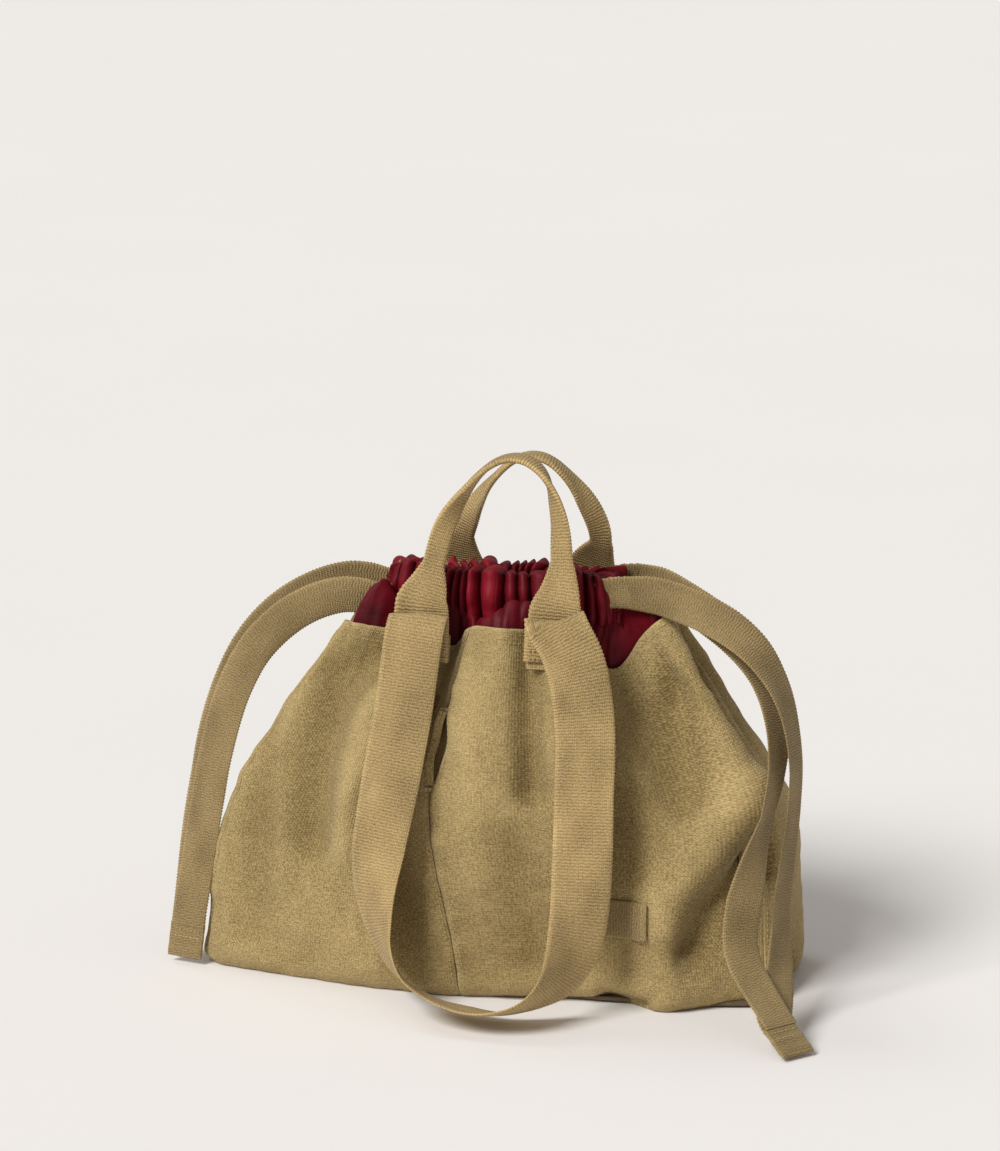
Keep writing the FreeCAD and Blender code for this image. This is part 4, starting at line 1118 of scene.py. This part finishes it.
def label():
    """A blank ribbed patch that lies over the canvas's shape, stitched at its ends."""
    across, tall = 46, 20
    grid = np.zeros((across, tall, 3))
    for i in range(across):
        for k in range(tall):
            dx = (i / (across - 1) - 0.5) * PATCH_SIZE[0]
            dz = (k / (tall - 1) - 0.5) * PATCH_SIZE[1]
            x = (PATCH_CENTRE[0] + dx) * MM
            z = (PATCH_CENTRE[1] + dz + dx * math.tan(math.radians(PATCH_TILT))) * MM
            grid[i, k] = (x, surface_at(x, z)[1], z)
    depth = grid[..., 1]
    for _ in range(14):
        inner = 0.25 * (depth[:-2, 1:-1] + depth[2:, 1:-1] + depth[1:-1, :-2] + depth[1:-1, 2:])
        depth[1:-1, 1:-1] = inner
    dx = np.linspace(-0.5, 0.5, across)[:, None] * PATCH_SIZE[0]
    dz = np.linspace(-0.5, 0.5, tall)[None, :] * PATCH_SIZE[1]
    ends = np.clip((np.abs(dx) - 25) / 1.5, 0, 1) * np.ones_like(dz)
    grid[..., 1] -= (2.4 + 0.7 * ends) * MM
    edge = np.clip(np.exp(-(13 - np.abs(dz)) / 1.0) + np.exp(-(34 - np.abs(dx)) / 1.0), 0, 1)
    weave = np.stack([dz * MM * np.ones_like(dx), dx * MM * np.ones_like(dz), 0 * depth], -1)
    piece = sheet_mesh("label_patch_blank", grid, 1.3 * MM, "label", weave, 0 * depth, edge)
    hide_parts("label_patch")
    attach(piece, "bag")
    for index, i in enumerate((2, 6, across - 7, across - 3)):
        line = grid[i, 1:-1] + np.array([0, -0.2 * MM, 0])
        stitches(f"label_row_{index}", line, (0, -1, 0), "bag", 1.8, 0.8, 0.32)
    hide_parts("label_stitching")


label()

# ---- handles and straps -------------------------------------------------
X = (1, 0, 0)
HANDLE_Y, STRAP_Y = 52.5, 57.5
STRAP_WIDTH, STRAP_THICK, BASE_WIDTH, BASE_THICK, GRIP_WIDTH, GRIP_THICK = 40, 2.0, 38, 1.8, 15, 4.4
# Each grip from its left shoulder to its right: (x, y, z) and its width's direction.
GRIPS = {
    "front": [((-40, 42, 292), X), ((-34, 36, 319), (0.8, -0.5, 0.4)), ((-18, 30, 346), (0.4, -0.8, 0.3)),
              ((2, 27, 363), (0, -1, 0)), ((22, 27, 364), (0, -1, 0)), ((37, 31, 350), (-0.4, -0.8, 0.3)),
              ((45, 36, 325), (-0.8, -0.5, 0.2)), ((48, 41, 299), (-1, 0, 0))],
    "back": [((-41, 41, 292), X), ((-32, 34, 313), (0.8, -0.5, 0.4)), ((-17, 27, 335), (0.4, -0.8, 0.3)),
             ((2, 22, 353), (0, -1, 0)), ((22, 22, 354), (0, -1, 0)), ((40, 27, 337), (-0.4, -0.8, 0.3)),
             ((53, 34, 312), (-0.8, -0.5, 0.3)), ((57, 40, 292), (-1, 0, 0))],
}
# The narrowing webbing below each grip: (x, y, z), width's direction, width, thickness.
SHOULDERS = {
    "front": (((-43, 48, 278), X, 28, 3.0), ((48, 47.5, 280), (-1, 0, 0), 27, 3.0)),
    "back": (((-45, 47.5, 278), X, 28, 3.0), ((50, 47.5, 279), (-1, 0, 0), 28, 3.0)),
}


def webbing_piece(name, stations, crown, seed, nodes, mirror=False):
    """A handle or strap from its stations: (point, width direction, width, thickness)."""
    flip = -1 if mirror else 1
    route = [(x * MM, y * flip * MM, z * MM) for (x, y, z), *_ in stations]
    path = spline_points(route, name + "_line", 20)
    wide = along_route([(w[0], w[1] * flip, w[2]) for _, w, *_ in stations], route, path)
    width = along_route([w * MM for _, _, w, _ in stations], route, path)
    thick = along_route([t * MM for *_, t in stations], route, path)
    piece = ribbon(name, path, wide, width, thick, "webbing", crown=crown * flip, seed=seed)
    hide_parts(*nodes)
    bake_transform(piece)


def handle(side):
    """A grab handle: wide sewn feet that narrow and fold into a grip."""
    flip, y = -1 if side == "front" else 1, HANDLE_Y
    foot = [((-46, y + out, z), X, BASE_WIDTH, BASE_THICK) for out, z in ((4.2, 227), (2.0, 240), (0, 256))]
    foot.append(((-46, y - 0.5, 268), X, 36, 2.0))
    left, right = SHOULDERS[side]
    rise = [left] + [(point, wide, GRIP_WIDTH, GRIP_THICK) for point, wide in GRIPS[side]] + [right]
    far = [((-x, yy, z), (-1, 0, 0), w, t) for (x, yy, z), _, w, t in reversed(foot)]
    webbing_piece(f"grab_handle_{side}_webbing", foot + rise + far, 0.0, 101 if flip < 0 else 131,
                  [f"grab_handle_{side}", f"grab_handle_{side}_ends"],
                  mirror=side == "front")


def shoulder_strap(side):
    """A shoulder strap: sewn feet and a long loop that hangs down to the floor."""
    y = STRAP_Y
    foot = [((-46, 59.5, 233), X), ((-46, 58.2, 242), X), ((-46, 56.8, 251), X), ((-46, 56.5, 259), X),
            ((-46, y + 4.5, 260.5), X), ((-47, 67.5, 252), X), ((-49, 70, 236), X)]
    loop = [((-52, 77, 200), X), ((-58, 90, 152), X), ((-65, 101, 106), (0.96, 0.25, 0)),
            ((-66, 108, 72), (0.8, 0.6, 0.1)), ((-59, 114, 45), (0.55, 0.8, 0.2)),
            ((-44, 123, 26), (0.3, 0.9, 0.3)), ((-22, 132, 16), (0.1, 0.95, 0.3)),
            ((4, 138, 11), (0, 0.97, 0.25)), ((30, 140, 11), (-0.1, 0.95, 0.3)),
            ((55, 134, 20), (-0.3, 0.9, 0.3)), ((71, 124, 38), (-0.6, 0.75, 0.2)),
            ((77, 114, 66), (-0.85, 0.5, 0.1)), ((77, 104, 104), (-0.97, 0.2, 0)),
            ((75, 92, 152), (-1, 0, 0)), ((74, 82, 190), (-1, 0.1, 0)), ((69, 75, 222), (-0.95, 0.3, -0.1)),
            ((63, 70.5, 240), (-0.9, 0.2, -0.35)), ((55, 68.5, 254), (-0.93, 0.05, -0.35)),
            ((48, y + 4.5, 262), (-0.98, 0, -0.15))]
    far = [((-x, yy, z), (-1, 0, 0)) for (x, yy, z), _ in reversed(foot[:4])]
    stations = [(point, wide, STRAP_WIDTH, STRAP_THICK) for point, wide in foot + loop + far]
    flip = -1 if side == "front" else 1
    webbing_piece(f"shoulder_strap_{side}_webbing", stations, 0.8, 151 if flip < 0 else 171,
                  [f"shoulder_strap_{side}", f"shoulder_strap_{side}_ends"],
                  mirror=side == "front")


for side in ("front", "back"):
    handle(side)
    shoulder_strap(side)


def anchors():
    """Rows of thread across each sewn strap end, and its square inside the rim."""
    for side, flip in (("front", -1), ("back", 1)):
        rows, squares = [], []
        for x in (-46, 46):
            for index, z in enumerate((235.5, 240.5)):
                y = flip * (61.1 if index == 0 else 60.2)
                line = [((x + dx) * MM, y * MM, z * MM) for dx in (-17, 0, 17)]
                tag = "left" if x < 0 else "right"
                rows.append(stitches(f"anchor_row_{side}_{tag}_{index}", line, (0, flip, 0), "bag",
                                     2.2, 0.8, 0.4))
            where = np.linspace(-18, 18, 20)
            height = np.linspace(226, 243, 12)
            grid = np.zeros((20, 12, 3))
            for i, dx in enumerate(where):
                for k, z in enumerate(height):
                    y = 55.5 - (z - 226) * 0.23 - 6.3
                    grid[i, k] = ((x - flip * dx) * MM, flip * y * MM, z * MM)
            weave = on_cloth(grid[..., 0], grid[..., 2])
            squares.append(sheet_mesh(f"anchor_square_{side}_{tag}", grid, 1.0 * MM, "canvas", weave,
                                      0 * grid[..., 0], 0.4 + 0 * grid[..., 0]))
        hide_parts(f"anchor_stitching_{side}")
        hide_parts(f"anchor_patches_{side}")
        for square in squares:
            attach(square, "bag")


anchors()
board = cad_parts["base_board"]
board.data.materials.clear()
board.data.materials.append(BOARD)


# ---- floor and light ----------------------------------------------------
def studio():
    """A plain pale floor, an even sky, a broad sun from the front left and a weak one behind."""
    mesh = bpy.data.meshes.new("floor")
    mesh.from_pydata([(-6, -6, 0), (6, -6, 0), (6, 6, 0), (-6, 6, 0)], [], [(0, 1, 2, 3)])
    floor = link("floor", mesh)
    shader = Shader("floor")
    tone = shader.noise(shader.place(), 3, 2)
    color = shader.mix(tone, (0.86, 0.835, 0.81, 1), (0.88, 0.855, 0.83, 1))
    floor.data.materials.append(shader.finish(color, 0.9, None))
    world = bpy.data.worlds.new("studio")
    bpy.context.scene.world = world
    world.use_nodes = True
    background = world.node_tree.nodes["Background"]
    background.inputs[0].default_value = (0.90, 0.875, 0.85, 1)
    background.inputs[1].default_value = 0.34
    for name, toward, angle, power in (("key", (-0.60, -1.0, 1.15), 24, 2.70),
                                       ("rim", (-0.9, 0.5, 1.4), 25, 0.35)):
        light = bpy.data.lights.new(name, "SUN")
        light.energy, light.angle = power, math.radians(angle)
        lamp = link(name, light)
        lamp.rotation_euler = Vector(toward).to_track_quat("Z", "Y").to_euler()


studio()

bpy.context.scene.view_settings.view_transform = "Standard"
